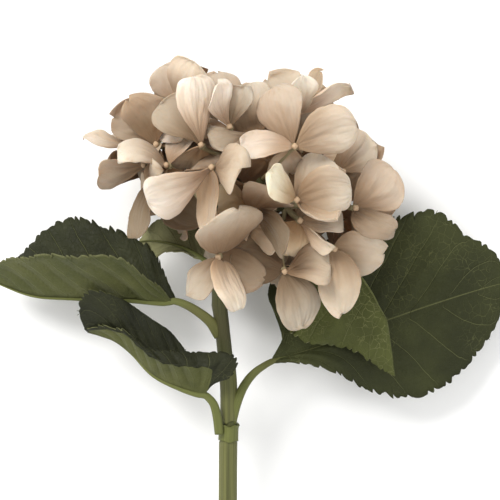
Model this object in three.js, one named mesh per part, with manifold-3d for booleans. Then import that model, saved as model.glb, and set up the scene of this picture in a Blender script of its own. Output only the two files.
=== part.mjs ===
// Cut hydrangea stem: one round flower head of four-petalled florets on a
// branched stalk, five serrated leaves, and a long bare stem. It lies on its
// back, stem along -Y, head at +Y, and rests on the lowest petals of the head
// and on the cut end of the stem.
// Units are millimetres, +Z is up.
import * as THREE from 'three';
import Module from 'manifold-3d';

// ---- driving dimensions -------------------------------------------------
const PETAL_THICK = 0.7;      // petal sheet
const LEAF_THICK = 0.8;       // leaf blade
const PETAL_BASE = 0.10;      // half width left at the foot of a petal
const PEDICEL_R = [0.8, 1.1]; // floret stalk radius at the floret, at the ray
const BUD_R = 2.4;            // button in the middle of a floret
const RAY_R = [2.2, 1.5];     // branch radius at the hub, at the tip
const KNOB_R = 2.6;           // swelling where floret stalks meet a branch
const HUB_R = 4.0;
const SLEEVE_R = [4.25, 4.95];// sheath round the upper stem, inner and outer
const COLLAR_R = [4.25, 5.5]; // collar round the lower leaf joint
const SLEEVE_SPAN = [0.405, 0.565];
const COLLAR_SPAN = [0.572, 0.615];
const GAP = 0.32;             // air left between neighbouring pieces
const ORIGIN = [0.585,112.699,-0.194]; // moves the middle of the underside to 0, 0, 0

// Stem centre line: x, y, z, radius, from the hub to the cut end.
// HUB and KNOBS: the fork of the stalk and the tips of its branches.
// LEAVES: name, index of the midrib rail, petiole (x, y, z, width, depth),
//   then the rails of the blade from margin to margin (s, x, y, z).
// FLORETS: name, centre, axis, tip of its branch, 1 when outer, then the
//   petals: foot, tip, normal, width, bend, cup, twist, fold, sweep to one
//   side, lopsidedness, and the two powers of the outline.
const STEM = [
  [-5,13,60,3.4],
  [-7,7,60,3.6],
  [-12.08,-6.04,52,3.7],
  [-15.42,-17.69,47,3.7],
  [-15.43,-25.3,45.8,3.7],
  [-14.19,-38,44,3.7],
  [-12.69,-51.76,42,3.7],
  [-10.93,-68.65,39.6,3.7],
  [-10.69,-81.48,37.8,3.7],
  [-11.07,-96.93,35.6,4.75],
  [-11.26,-128,31.2,4.75],
  [-11.51,-319,4.9,4.75]];
const HUB = [-5,13,60];
const KNOBS = [[-13.79,29.55,78], [5.9,34.42,80], [17.3,21.74,74], [-22.39,21.89,66], [-8.96,45.77,66], [17.5,41,60], [-22.15,36.24,52], [10.13,25.33,44], [-12.71,25.42,40]];
const LEAVES = [
  ["leaf_mid_left",1,[[-15.95,-42.54,44.5,6,3.4],[-20.23,-36.15,46.5,5.4,3.2],[-27.3,-30.59,46.7,4.6,3.2],[-34.4,-26.81,46,4,3],[-39.99,-25.57,45,3.4,2.8]],[
    [[0,-37.52,-24.85,43],[0.05,-42.16,-15.24,41],[0.12,-46.41,-6.12,36],[0.25,-54.7,3.58,33],[0.4,-73.35,11.28,29],[0.55,-91.6,15.95,25],[0.7,-104.2,10.83,22],[0.8,-112.03,3.61,21],[0.9,-121.32,-4.13,21],[1,-136.07,-12.37,23]],
    [[0,-39.49,-26.83,45],[0.12,-50.75,-25.88,42],[0.25,-62.63,-24.95,38],[0.5,-90.42,-24.26,34],[0.75,-112.84,-22.57,29],[0.9,-125.97,-18,26],[1,-136.47,-13.39,24]],
    [[0,-40.43,-24.77,47],[0.05,-44.29,-19.63,52],[0.12,-50.08,-15.03,58],[0.25,-61.14,-5.96,67],[0.4,-78.41,-2.98,69],[0.55,-94.19,-3.49,64],[0.75,-111.28,-3.51,57],[0.9,-125.25,-6.08,43],[1,-135.28,-12.35,25.5]]]],
  ["leaf_low_left",1,[[-15.74,-92.4,41.5,4.6,2.6],[-16.73,-84.14,43.5,4.6,3],[-18.73,-77.44,45.3,4.2,3],[-23.01,-72.82,46.3,3.6,2.8]],[
    [[0,-25.31,-69.86,45],[0.1,-28.4,-59.33,43],[0.2,-32.99,-50.75,42],[0.3,-39.08,-42.63,42],[0.45,-49.15,-35.47,44],[0.6,-59.13,-28.3,47],[0.7,-66.1,-23.72,49],[0.8,-75.62,-21.18,50],[0.88,-83.9,-23.75,47],[0.95,-86.35,-32.51,41],[1,-84.15,-40.8,36]],
    [[0,-23.26,-73.33,46.3],[0.2,-34.4,-69.81,46],[0.45,-49.15,-62.83,44],[0.65,-59.93,-52.82,41],[0.8,-68.74,-46.84,38],[1,-82.72,-41.87,34.5]],
    [[0,-21.19,-70.64,49],[0.1,-19.02,-60.55,59],[0.25,-31.45,-58.4,62],[0.45,-45,-55.5,60],[0.6,-54.23,-49.71,55],[0.75,-63.02,-42.85,50],[0.9,-74.54,-40.31,43],[1,-82.04,-40.77,37]],
    [[0,-18.62,-66.94,52],[0.06,-10.02,-63.66,57],[0.1,-7.01,-58.07,58.5],[0.16,-8.51,-53.57,58.5],[0.28,-22.56,-50.88,57],[0.4,-37.15,-51.21,55],[0.5,-46.73,-50.75,54],[0.6,-53.83,-47.29,52.5],[0.75,-63.55,-40.85,49.5],[0.9,-74.99,-39.01,44],[1,-82.99,-40.22,38]]]],
  ["leaf_up_left",1,[[-14.11,-13.1,50.5,4.2,2.6],[-17.17,-10.1,48,3.8,2.6],[-20.76,-7.09,45,3.2,2.4],[-23.83,-4.56,43,2.8,2.2]],[
    [[0,-23.85,-3.04,42],[0.12,-21.89,5.09,38],[0.3,-27.59,11.75,34],[0.5,-36.36,15.36,31],[0.7,-46.16,15.39,29],[0.85,-52.36,11.29,28],[1,-56.98,4.62,28]],
    [[0,-23.33,-4.82,43],[0.3,-32.02,0,40],[0.6,-43.35,3.57,36],[0.85,-52.23,4.61,31],[1,-57.47,3.85,28.5]],
    [[0,-23.85,-6.09,42],[0.15,-26.9,-4.06,42],[0.3,-32.48,-2.03,42],[0.5,-40.67,-0.51,40],[0.7,-47.94,-3.57,36],[0.85,-51.68,-0.51,32],[1,-56.96,3.08,28.5]]]],
  ["leaf_low_right",1,[[-8.91,-87.03,38.5,4.4,2.8],[-6.86,-78.25,40.5,4.8,3.2],[-3.3,-69.56,41.5,4.6,3.2],[2.29,-62.25,40.5,4,3],[10.18,-57,38.5,3.2,2.6]],[
    [[0,11.71,-54.48,38],[0.03,16.82,-43.82,37],[0.09,9.2,-22.49,33],[0.16,20.48,-6.14,31],[0.27,38.44,3.59,30],[0.42,58.99,11.28,29],[0.56,78.03,16.43,28],[0.7,95.64,18.77,26],[0.78,103.52,14.42,24],[0.86,112.45,5.67,22],[0.94,126.07,-1.55,20],[1,134.33,-15.5,20]],
    [[0,10.69,-56.52,38],[0.2,36.21,-48.96,36],[0.48,70.61,-35.82,32],[0.7,97.61,-26.72,27],[0.93,126.95,-18.06,21.5],[1,135.37,-16.02,20]],
    [[0,12.22,-57.79,38],[0.05,17.31,-57.28,38],[0.15,30.59,-58.12,36.5],[0.25,43.42,-61.81,34],[0.4,61.04,-70.78,29],[0.53,79.25,-75.13,25],[0.66,93.88,-72.22,22],[0.77,105.92,-64.58,20],[0.87,118.51,-51.23,18],[0.95,127.82,-37.26,18],[1,134.96,-17.58,19]]]],
  ["leaf_up_right",1,[[-11.84,-13.61,50.5,4.2,2.6],[0,-13.62,49.5,3.8,2.8],[20.16,-13.1,50.5,3.2,2.6],[37.75,-9.06,52,2.8,2.4]],[
    [[0,41.34,-10.08,50],[0.15,48.01,-18.7,47],[0.3,51.62,-26.31,45.5],[0.5,55.76,-36.49,43.5],[0.7,60.9,-45.67,42],[0.85,67.02,-53.82,41.5],[1,72.57,-62.93,42]],
    [[0,37.25,-8.56,52],[0.12,51.25,-11.05,54],[0.3,59.27,-19.09,54.5],[0.5,64.85,-28.65,53.5],[0.7,69.52,-36.77,51],[0.85,71.23,-46.48,47.5],[1,73.53,-63.89,43]],
    [[0,34.26,-10.08,51],[0.12,23.2,-19.17,49.5],[0.25,19.18,-31.3,48.5],[0.33,20.7,-39.88,48.5],[0.45,29.28,-45.94,48.5],[0.58,40.89,-47.96,48.5],[0.72,52.02,-49.99,48],[0.86,61.71,-56.15,46],[1,71.98,-63.36,43.5]]]]
];
const FLORETS = [
  ["floret_01",[21.3,49.87,98],[0.242,0.204,0.949],[5.9,34.42,80],1,[
    [[20.37,51.04,96.32],[10.89,78.6,94.82],[-0.441,-0.245,0.863],24.77,0.524,-0.048,0.225,0,0.049,0.071,1.04,0.695],
    [[23.22,50.65,99.46],[52.06,59.07,96.81],[-0.312,-0.43,0.847],26.82,0.177,0.169,0.432,0,0.108,0.122,0.784,0.531],
    [[20.09,50.13,99.48],[-4.35,48.86,97.42],[-0.391,0.692,0.607],23.9,-0.19,-0.372,0.248,0,-0.206,-0.069,0.845,0.482],
    [[20.79,48.77,95.32],[18.89,38.66,79.28],[0.126,-0.74,0.661],19.12,0.099,-0.247,-0.409,0,-0.048,-0.207,0.964,0.59]]],
  ["floret_02",[22.29,24.23,97],[0.309,-0.012,0.951],[17.3,21.74,74],1,[
    [[23.62,24.5,96.23],[49.52,28.69,97.21],[-0.053,-0.324,0.945],26.65,-0.212,0.462,0.447,0,0.157,0.055,0.576,0.459],
    [[21.59,25.06,98.32],[9.84,37.77,115.26],[0.754,0.081,0.651],18.38,-0.162,0.108,0.146,0,0.044,0.118,0.858,0.591],
    [[22.95,23.63,96.4],[41.99,13.71,112.78],[0.181,0.886,0.427],16.54,0.86,-0.808,-0.075,0.6,-0.108,-0.135,1.031,0.472],
    [[22.69,25.6,95.67],[33.77,47.7,88.22],[-0.245,-0.054,0.968],21.62,-0.017,-0.037,-0.057,0,-0.118,-0.248,0.887,0.758]]],
  ["floret_03",[-17.96,39.8,95],[-0.439,0.243,0.865],[-13.79,29.55,78],1,[
    [[-19.76,39.3,95.97],[-50,23.63,99.84],[0.373,-0.564,0.736],26.67,-0.439,0.114,0.384,0,0.17,-0.011,1.34,0.79],
    [[-18.78,38.57,96.04],[-21.79,8.9,91.22],[-0.854,0.011,0.52],22.42,0.41,-0.132,0.203,0.25,-0.06,0.088,0.45,0.728],
    [[-16.69,39.46,95.32],[-4.94,39.21,121.74],[-0.957,0.116,0.267],24.32,-0.094,0.103,-0.133,0,-0.023,0.028,0.978,0.711],
    [[-18.18,40.01,93.19],[-23.17,43.85,72.9],[-0.121,0.752,0.649],22.35,-0.138,-0.469,-0.227,0,0.139,-0.025,0.939,0.475]]],
  ["floret_04",[-15.18,-2.94,85],[-0.219,-0.382,0.898],[-22.39,21.89,66],1,[
    [[-14.3,-1.21,84.58],[-5.12,18.2,104.32],[0.542,-0.469,0.698],35.37,0.236,-0.001,-0.094,0,0.028,-0.034,0.63,0.66],
    [[-16.12,-4.25,85.39],[-29.66,-22.83,89.73],[-0.515,0.376,0.77],23.83,-0.533,-0.561,0.443,0,0.012,-0.063,0.902,0.443],
    [[-14.19,-3.74,83.96],[-3.77,-28.41,92.07],[0.725,0.287,0.627],22.23,-0.22,0.04,0.003,0,0.019,-0.229,0.561,0.733],
    [[-13.94,-3.92,85.27],[7.22,-14.55,79.3],[0.035,0.292,0.956],20.94,0.904,0.181,0.274,0,-0.087,-0.028,0.45,0.678]]],
  ["floret_05",[-23.54,51,83],[-0.287,0.349,0.892],[-8.96,45.77,66],1,[
    [[-24.02,53,84.38],[-26.28,85.25,89.33],[0.397,-0.111,0.911],22.28,-0.585,0.053,0.368,0,0.158,0.004,1.258,0.582],
    [[-25.09,52.61,84.44],[-44.54,71.41,86.26],[-0.075,-0.086,0.993],23.01,-0.283,0.322,0.218,0,-0.095,-0.095,1.382,0.883],
    [[-24.61,50.66,83.26],[-31.54,39.1,67.57],[0.371,0.327,0.869],21.85,0.482,-0.076,-0.056,0,0.125,0.065,0.963,0.422],
    [[-22.73,51.39,81.32],[-12.29,59.33,61.45],[0.117,0.076,0.99],19.54,0.089,0.03,0.157,0,0.017,0.174,0.926,0.31]]],
  ["floret_06",[-9.82,59.88,82],[-0.118,0.441,0.89],[-8.96,45.77,66],1,[
    [[-10.24,61.76,82.44],[-15.88,88,77.58],[0.239,0.315,0.918],24.41,-0.426,-0.08,-0.063,0,-0.037,0.203,1.209,0.838],
    [[-10.05,60.85,82.37],[-14.76,79.9,97.18],[0.369,0.279,0.886],17.92,0.592,0.834,0.012,0,0.207,0.002,1.417,0.331],
    [[-9.35,61.26,82.64],[-3.28,79.55,91.34],[-0.461,-0.23,0.857],18.75,0.27,0.744,-0.194,0,0.107,0.027,1.354,0.645],
    [[-11.21,59.52,80.65],[-32.2,60.18,73.34],[0.155,0.661,0.734],17.84,-0.342,0.221,-0.032,0,0,0,0.95,0.5]]],
  ["floret_07",[24.05,14.72,82],[0.372,-0.193,0.908],[17.3,21.74,74],1,[
    [[26.21,14.14,83.66],[46.3,10.79,84.9],[-0.027,0.69,0.723],20.82,-0.374,0.645,-0.439,0,0.047,0.174,0.8,0.673],
    [[25.09,13.74,82.21],[40.06,0.12,88.26],[-0.537,-0.699,0.472],13.13,0.192,0.207,-0.093,0.5,0.021,-0.131,1.107,0.576],
    [[23.11,13.64,79.83],[19.56,-3.58,72.57],[0.033,-0.273,0.962],21.33,-0.08,-0.01,-0.101,0,-0.054,-0.165,0.582,0.846],
    [[22.87,14.93,79.06],[15.23,13.18,59.45],[0.385,0.142,0.912],19.9,0.086,-0.206,-0.048,0,-0.284,-0.135,1.652,0.523]]],
  ["floret_08",[-40.32,41.3,80],[-0.576,0.242,0.781],[-22.39,21.89,66],1,[
    [[-41.95,41.88,80.72],[-64.9,49.82,87.94],[0.096,0.767,0.634],23.65,-0.927,-0.071,0.295,0,-0.28,0.076,0.881,0.455],
    [[-39.35,42.5,79.22],[-29.47,58.3,72.38],[-0.47,0.68,0.563],18.88,-0.329,0.442,0.005,0,0.059,0.112,1.088,0.545],
    [[-40.95,40.47,80.25],[-36.83,26.5,67.85],[0.169,-0.039,0.985],20.41,-0.612,0.169,-0.042,0,0.125,0.139,1.109,0.387],
    [[-41.58,40.37,79.77],[-51.18,27.39,70.05],[-0.736,-0.031,0.677],18.99,-0.058,0.019,0.264,0,0.274,0.303,1.156,1.019]]],
  ["floret_09",[40.81,0.98,80],[0.513,-0.305,0.802],[17.3,21.74,74],1,[
    [[40.22,-0.1,78.51],[45.57,-31.2,75.75],[-0.142,-0.412,0.9],22.04,-0.622,-0.485,-0.014,0,0.1,0.007,0.45,0.775],
    [[41.56,1.24,78.89],[64.81,-2.57,82.65],[0.033,-0.462,0.886],26.54,0.754,0.406,0.435,0,-0.121,-0.047,0.681,0.668],
    [[39.81,1.31,79.09],[26.81,5.91,66.28],[0.135,-0.435,0.89],20.18,-0.26,0.405,-0.283,0,0.08,0.011,1.059,0.525],
    [[41,1.92,78.09],[48.83,10.92,61.74],[0.143,0.39,0.91],19.25,-0.107,-0.054,0.136,0,-0.247,-0.127,1.315,0.334]]],
  ["floret_10",[51.13,20.65,80],[0.556,-0.064,0.828],[17.3,21.74,74],1,[
    [[51.67,21.8,78.79],[71.05,39.66,74.47],[-0.35,-0.392,0.851],27.4,0.094,-0.457,-0.315,0,-0.15,-0.004,1.015,0.808],
    [[51.63,20.08,79.16],[71.36,10.78,86.83],[0.327,0.642,0.693],21.2,0.01,-0.093,0.06,0,-0.122,-0.14,0.5,0.837],
    [[51.38,20.22,79.14],[48.48,15.88,60.58],[-0.703,-0.189,0.685],18.97,-0.037,-0.116,-0.001,0,0.023,0.076,1.074,0.701],
    [[50.97,19.52,77.96],[63.04,0.52,68.26],[0.195,-0.071,0.978],14.45,-0.011,0.071,-0.045,0,0.026,0.026,0.742,0.47]]],
  ["floret_11",[3.45,56.14,78],[0.04,0.631,0.774],[-8.96,45.77,66],1,[
    [[2.01,57.12,79.8],[-20.31,55.53,86.9],[0.327,0.686,0.65],19.5,-0.402,0.104,0.186,0,0.314,0.106,1.292,0.328],
    [[3.34,58.64,78.67],[0.21,83.67,67.53],[-0.234,0.015,0.972],24.24,0.13,-0.053,-0.054,0,-0.04,0.131,0.45,0.511],
    [[2.79,56.83,76.62],[-6.04,68.07,60.32],[-0.432,-0.007,0.902],21.58,0.063,0.086,0.048,0,-0.003,-0.023,0.903,0.455],
    [[4.33,55.11,78.2],[15.05,38.25,75.87],[-0.158,0.373,0.914],18.87,-0.305,-0.341,0.207,0,0,0,0.95,0.5]]],
  ["floret_12",[1.97,20.19,78],[0.229,-0.284,0.931],[5.9,34.42,80],1,[
    [[0.4,20.57,77.89],[-16.69,21.23,90.42],[0.765,0.228,0.602],25.54,0.24,-0.209,-0.252,0,-0.182,0.058,0.754,0.83],
    [[2.65,20.64,80.07],[9.19,29.57,97.38],[0.102,-0.624,0.774],27.36,0.443,0.337,-0.416,0,-0.011,-0.148,0.702,0.444],
    [[2.96,18.75,79.34],[17.29,-2.83,89.84],[-0.707,-0.307,0.637],18.35,-0.005,-0.308,0.263,0,0.289,0.239,0.745,0.323],
    [[1.02,18.94,78.19],[-12.68,6.44,71.63],[0.091,0.055,0.994],17.96,-0.424,-0.174,-0.159,0,0,0,0.95,0.5]]],
  ["floret_13",[16.77,-9.87,76],[0.252,-0.517,0.818],[17.3,21.74,74],1,[
    [[15.49,-9.93,76.9],[-9.89,-2.06,77.67],[-0.086,0.299,0.95],24.07,0.257,-0.337,-0.085,0,-0.044,-0.058,0.563,1.027],
    [[17.19,-11.38,75.74],[24.9,-38.89,71.57],[0.247,-0.138,0.959],24.06,-0.298,-0.256,-0.366,0,0.245,-0.005,0.815,0.743],
    [[18.72,-10.59,77.7],[39.68,-8.28,81.79],[0.181,0.44,0.879],25.08,-0.333,0.726,0.046,0,0.301,-0.091,0.963,0.317],
    [[16.5,-10.67,74.88],[11.61,-18.33,56.04],[-0.31,-0.43,0.848],19.69,0.046,0.321,0.056,0,-0.021,-0.08,1.049,0.554]]],
  ["floret_14",[-1.98,12.85,74],[-0.051,-0.397,0.917],[17.3,21.74,74],1,[
    [[-0.71,12.38,73.71],[14.07,1.63,81.74],[-0.296,-0.249,0.922],20.63,-0.247,-0.175,0.073,0,0.158,0.227,0.765,0.478],
    [[-0.94,14.05,74.09],[11.48,28.5,74.92],[-0.764,0.244,0.597],17.33,0.12,-0.495,0.14,0,0,0,0.95,0.5],
    [[-3.19,13.04,71.99],[-22.04,8.47,59.55],[-0.388,-0.325,0.862],19.44,-0.302,-0.028,-0.093,0,0,0,0.95,0.5],
    [[-2.42,11.13,74.2],[-8.66,-8.63,56.82],[0.02,-0.31,0.951],19.1,-0.261,0.182,-0.161,0,0,0,0.95,0.5]]],
  ["floret_15",[-45.62,52.06,70],[-0.631,0.229,0.741],[-22.15,36.24,52],1,[
    [[-46.87,53.44,71.2],[-59.24,72.63,81.37],[-0.173,-0.486,0.857],25.16,1,0.56,0.44,0,-0.158,-0.117,0.843,0.696],
    [[-47.86,53.25,70.69],[-67.55,66.33,62.75],[-0.772,0.214,0.599],23.95,-0.224,-0.201,-0.053,0,-0.188,-0.155,1.115,0.769],
    [[-45.27,50.32,69.66],[-46.46,31.96,71.83],[-0.741,-0.098,0.664],16.82,-0.314,0.347,-0.185,0,0,0,0.95,0.5],
    [[-43.06,52.08,68.98],[-24.06,57.37,72.3],[-0.762,0.385,0.521],18.64,0.044,-0.077,-0.173,0,0,0,0.95,0.5]]],
  ["floret_16",[-36.69,74.38,70],[-0.474,0.507,0.72],[-8.96,45.77,66],1,[
    [[-36.54,74.96,68.35],[-44.22,91.57,63.8],[-0.402,0.084,0.912],24.34,0.725,0.395,0.389,0,-0.106,-0.079,0.918,0.952],
    [[-35.9,75.55,70.51],[-26.83,92.67,79.44],[-0.146,0.143,0.979],23.84,-0.492,-0.234,-0.024,0,-0.09,0.064,0.917,0.763],
    [[-37.65,73.65,71.54],[-39.43,52.99,75.43],[-0.573,0.435,0.695],19.28,-0.088,0.071,0.131,0,0,0,0.95,0.5],
    [[-37.88,73.74,69.47],[-51.06,60.05,55.54],[-0.478,0.769,0.424],18.27,-0.287,0.179,-0.069,0,0,0,0.95,0.5]]],
  ["floret_17",[-49.09,34.71,70],[-0.72,-0.006,0.694],[-22.15,36.24,52],1,[
    [[-48.41,33.17,68.82],[-55.71,5.78,66.54],[-0.733,0.146,0.664],16.62,-0.351,-0.565,-0.069,0,-0.065,-0.188,0.588,0.821],
    [[-47.42,33.75,69.04],[-23.7,14.02,59.4],[-0.034,0.189,0.981],22.49,0.049,-0.163,0.408,0,-0.203,0.099,0.7,0.676],
    [[-49.88,34.76,72.67],[-44.29,35.56,90.63],[-0.687,-0.171,0.706],18.31,-0.287,-0.096,0.316,0,0,0,0.95,0.5],
    [[-48.76,34.29,67.88],[-53.01,29.08,50.09],[-0.672,0.088,0.736],18.18,-0.448,-0.147,0.032,0,0,0,0.95,0.5]]],
  ["floret_18",[23.3,67.43,70],[0.469,0.447,0.762],[17.5,41,60],1,[
    [[22.81,68.04,69.65],[26.84,85.37,81.77],[0.48,-0.308,0.822],23.4,-0.747,0.688,0.297,0,0.184,0.145,0.745,1.099],
    [[22.51,68.81,69.92],[8.76,84.5,63.92],[-0.022,0.285,0.958],24.27,-0.552,-0.507,0.137,0,0.028,-0.259,1.182,0.832],
    [[24.71,69.52,70.72],[33.84,89.42,62.01],[0.535,-0.458,0.71],13.88,-0.006,-0.133,-0.041,0,-0.083,0.15,0.967,0.623],
    [[24.19,67.77,69.16],[49.6,82.88,69.46],[0.388,-0.781,0.489],17.07,0.28,-0.145,0.158,0,0.16,-0.165,0.871,0.655]]],
  ["floret_19",[-1.98,31.73,70],[0.047,0.034,0.998],[-8.96,45.77,66],1,[
    [[-1.26,32.63,70.01],[7.5,43.21,82.92],[0.248,-0.325,0.913],26.28,-0.097,0.451,0.008,0,0.139,0.016,0.825,0.504],
    [[-3.41,31.94,71.08],[-27.47,34.27,61.16],[-0.064,-0.612,0.789],18.82,-0.126,0.195,0.285,0,0,0,0.95,0.5],
    [[-0.99,30.78,69.36],[11.36,18.71,58.98],[0.158,-0.354,0.922],17.93,-0.055,-0.346,-0.371,0,0,0,0.95,0.5],
    [[-3.24,31.27,70.81],[-21.48,24.1,59.34],[0.118,-0.34,0.933],17.75,-0.258,0.143,-0.103,0,0,0,0.95,0.5]]],
  ["floret_20",[45.2,38.74,68],[0.734,0.125,0.668],[17.5,41,60],1,[
    [[44.55,40.05,66.77],[52.83,61.33,65.34],[0.248,0.012,0.969],21.99,-0.206,0.083,-0.253,0,0.163,0.275,1.2,0.49],
    [[45.31,39.49,66.39],[62.2,53.01,57.05],[0.63,0.229,0.742],22.33,-0.12,-0.259,0.383,0,-0.047,0.103,1.088,0.548],
    [[43.59,38.84,68.44],[39.85,42.49,86.55],[-0.315,0.017,0.949],13.92,-0.267,-0.007,-0.072,0,0.029,0.079,0.955,0.653],
    [[45.72,37.41,68.47],[38.21,14.25,61.47],[0.61,-0.172,0.773],18.71,-0.178,-0.018,-0.161,0,0,0,0.95,0.5]]],
  ["floret_21",[-51.83,42.36,64],[-0.834,0.078,0.546],[-22.15,36.24,52],1,[
    [[-53.32,42.1,64.39],[-75.5,38.47,70.36],[-0.22,-0.693,0.687],26.57,0.041,-0.292,-0.345,0,0.062,0.248,1.251,0.39],
    [[-50.63,41.4,61.8],[-52.88,30.02,43.88],[-0.774,-0.263,0.576],20.29,0.557,0.522,-0.146,0,-0.126,0.054,0.73,0.631],
    [[-50.98,42.1,64.61],[-32.3,38.3,65.79],[-0.881,0.442,0.166],19.01,-0.109,-0.275,-0.227,0,0,0,0.95,0.5],
    [[-51.27,43.74,63.28],[-44.96,63.51,54.19],[-0.6,0.453,0.66],18.8,-0.237,0.613,-0.318,0,0,0,0.95,0.5]]],
  ["floret_22",[-61.5,52.5,60],[-0.638,0.644,0.422],[-22.15,36.24,52],1,[
    [[-62.26,52.04,59.46],[-83.16,57.41,59.91],[0.2,0.922,0.333],18.16,-0.112,0.209,-0.273,0,0.055,-0.011,0.7,0.57],
    [[-59.59,51.24,60.54],[-47.06,46.6,74.04],[-0.552,0.828,0.099],18.25,-0.536,0.457,0.153,0,0,0,0.95,0.5],
    [[-61.39,53.95,59.22],[-52.41,64.19,44.66],[-0.78,0.403,0.479],18.98,-0.362,0.085,-0.089,0,0,0,0.95,0.5],
    [[-62.73,53.67,59.03],[-68.89,58.74,34.36],[-0.243,0.916,0.319],18.97,-0.558,0.301,0.074,0,0,0,0.95,0.5]]],
  ["floret_23",[-36.06,25.04,58],[-0.24,-0.144,0.96],[-22.15,36.24,52],0,[
    [[-37.16,24.67,56.24],[-55.42,17.28,51.96],[0.066,-0.977,0.202],20.14,-0.202,0.055,-0.192,0,0,0,0.95,0.5],
    [[-35.84,23.8,57.11],[-32.77,9.14,44.94],[-0.717,0.27,0.642],19.58,-0.458,-0.169,0.018,0,0,0,0.95,0.5],
    [[-34.2,24.81,56.66],[-14.99,19.31,57.06],[-0.268,0.235,0.934],20.51,-0.071,-0.335,-0.261,0,0,0,0.95,0.5],
    [[-36.6,26.49,55.98],[-48.88,41.9,51.3],[-0.425,-0.827,0.367],20.43,-0.251,0.153,-0.287,0,0,0,0.95,0.5]]],
  ["floret_24",[-9.02,43.57,58],[0,0.1,0.995],[-22.15,36.24,52],0,[
    [[-10.36,42.81,59.01],[-29.29,30.64,58.42],[0.101,-0.012,0.995],21.59,-0.239,0.197,-0.164,0,0,0,0.95,0.5],
    [[-7.85,42.33,56.23],[10.47,25.49,55],[-0.029,0.201,0.979],21.25,0.035,-0.075,0.08,0,0,0,0.95,0.5],
    [[-7.68,44.44,57.8],[9.3,55.6,57.24],[-0.437,0.368,0.821],20.38,-0.007,-0.162,-0.078,0,0,0,0.95,0.5],
    [[-10.08,44.83,58.63],[-23.2,59.44,57.62],[-0.075,-0.238,0.968],20.4,-0.502,-0.276,0.175,0,0,0,0.95,0.5]]],
  ["floret_25",[13.02,17.03,58],[0.098,-0.148,0.984],[10.13,25.33,44],0,[
    [[11.79,18.27,57.11],[-2.41,32.05,57.3],[0.163,-0.199,0.966],20.5,0.051,0.093,0.348,0,0,0,0.95,0.5],
    [[12.92,15.27,59.08],[9.47,-8.69,56.47],[0.417,-0.181,0.891],20.34,-0.204,0.035,0.01,0,0,0,0.95,0.5],
    [[14.46,16.69,57.13],[34.67,11.12,51.47],[-0.111,-0.144,0.983],21.03,-0.174,0.62,0.031,0,0,0,0.95,0.5],
    [[13.26,18.67,57.26],[16.99,38.56,54.95],[-0.112,-0.376,0.92],19.52,-0.223,0.046,0.122,0,0,0,0.95,0.5]]],
  ["floret_26",[25.04,50.08,58],[0.192,0.192,0.962],[17.5,41,60],0,[
    [[24.44,49.18,60.03],[8.98,28.64,69.1],[0.335,0.156,0.929],21.39,-0.403,0.482,0.327,0,0,0,0.95,0.5],
    [[26.49,49.49,57.58],[51.21,40.34,54.47],[0.322,-0.239,0.916],21.27,-0.189,0.298,-0.134,0,0,0,0.95,0.5],
    [[25.74,51.6,58.05],[34.56,72.41,52.17],[0.031,0.385,0.922],20.72,-0.157,0.125,0.028,0,0,0,0.95,0.5],
    [[23.5,50.78,56.66],[5.51,64.66,57.63],[0.207,0.175,0.962],21.27,-0.41,0.51,0.002,0,0,0,0.95,0.5]]],
  ["floret_27",[37.62,25.08,56],[0.33,0,0.944],[10.13,25.33,44],0,[
    [[36.34,24.45,56.32],[24.57,17.15,69.2],[0.368,0.066,0.927],21.47,-0.235,0.409,0.145,0,0,0,0.95,0.5],
    [[37.89,23.7,54.5],[56.74,-8.18,56.15],[0.178,0.262,0.949],20.34,-0.225,0.158,-0.172,0,0,0,0.95,0.5],
    [[38.48,25.97,54.44],[57.03,38.55,50.9],[0.154,0.146,0.977],20.95,-0.078,0.229,-0.216,0,0,0,0.95,0.5],
    [[37.22,26.37,57.67],[24.9,42.57,58.19],[0.172,-0.242,0.955],19.84,-0.017,0.208,-0.052,0,0,0,0.95,0.5]]],
  ["floret_28",[-42.35,58.48,50],[-0.389,0.291,0.874],[-22.15,36.24,52],0,[
    [[-43.92,58.29,49.71],[-59.92,53.87,40.15],[-0.524,0.342,0.78],20.09,0.199,0.099,-0.202,0,0,0,0.95,0.5],
    [[-41.22,56.5,48.63],[-34.84,36.13,50.38],[-0.362,0.156,0.919],21.14,0.362,0.084,-0.327,0,0,0,0.95,0.5],
    [[-41.05,59.15,50.63],[-21.78,69.31,60.59],[-0.368,0.407,0.836],20.41,-0.453,0.031,-0.055,0,0,0,0.95,0.5],
    [[-41.55,59.6,48.48],[-38.44,92.76,47.45],[-0.069,0.06,0.996],18.75,-0.492,0.294,-0.305,0,0,0,0.95,0.5]]],
  ["floret_29",[-2.55,78.41,38],[0,0.914,-0.406],[-8.96,45.77,66],0,[
    [[-2.09,77.13,36.9],[4.55,70.7,15.21],[-0.18,0.837,-0.517],20.25,-0.21,0.279,-0.007,0,0,0,0.95,0.5],
    [[-4.08,78.89,37.43],[-27.62,81.31,30.96],[-0.149,0.603,-0.783],21.36,-0.192,0.008,0.125,0,0,0,0.95,0.5],
    [[-2.98,79.24,39.31],[-9.56,85.82,61.9],[0.346,0.919,0.191],20.59,-0.246,0.099,-0.278,0,0,0,0.95,0.5],
    [[-1.11,77.6,39.13],[21.69,84.16,48.35],[-0.532,0.763,-0.368],20.95,-0.117,0.355,0.041,0,0,0,0.95,0.5]]],
  ["floret_30",[34.68,65.28,36],[0.625,0.625,-0.469],[17.5,41,60],0,[
    [[36.63,65.5,36.33],[55.08,59.22,48.05],[0.654,0.619,-0.435],22.14,-0.326,-0.066,-0.144,0,0,0,0.95,0.5],
    [[34.36,64.25,34.79],[31.48,49.25,11.98],[0.298,0.897,-0.325],20.06,-0.35,-0.184,-0.068,0,0,0,0.95,0.5],
    [[33.76,66.44,35.54],[20.23,88.08,26.18],[0.512,0.569,-0.643],21.29,-0.347,-0.054,-0.055,0,0,0,0.95,0.5],
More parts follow.
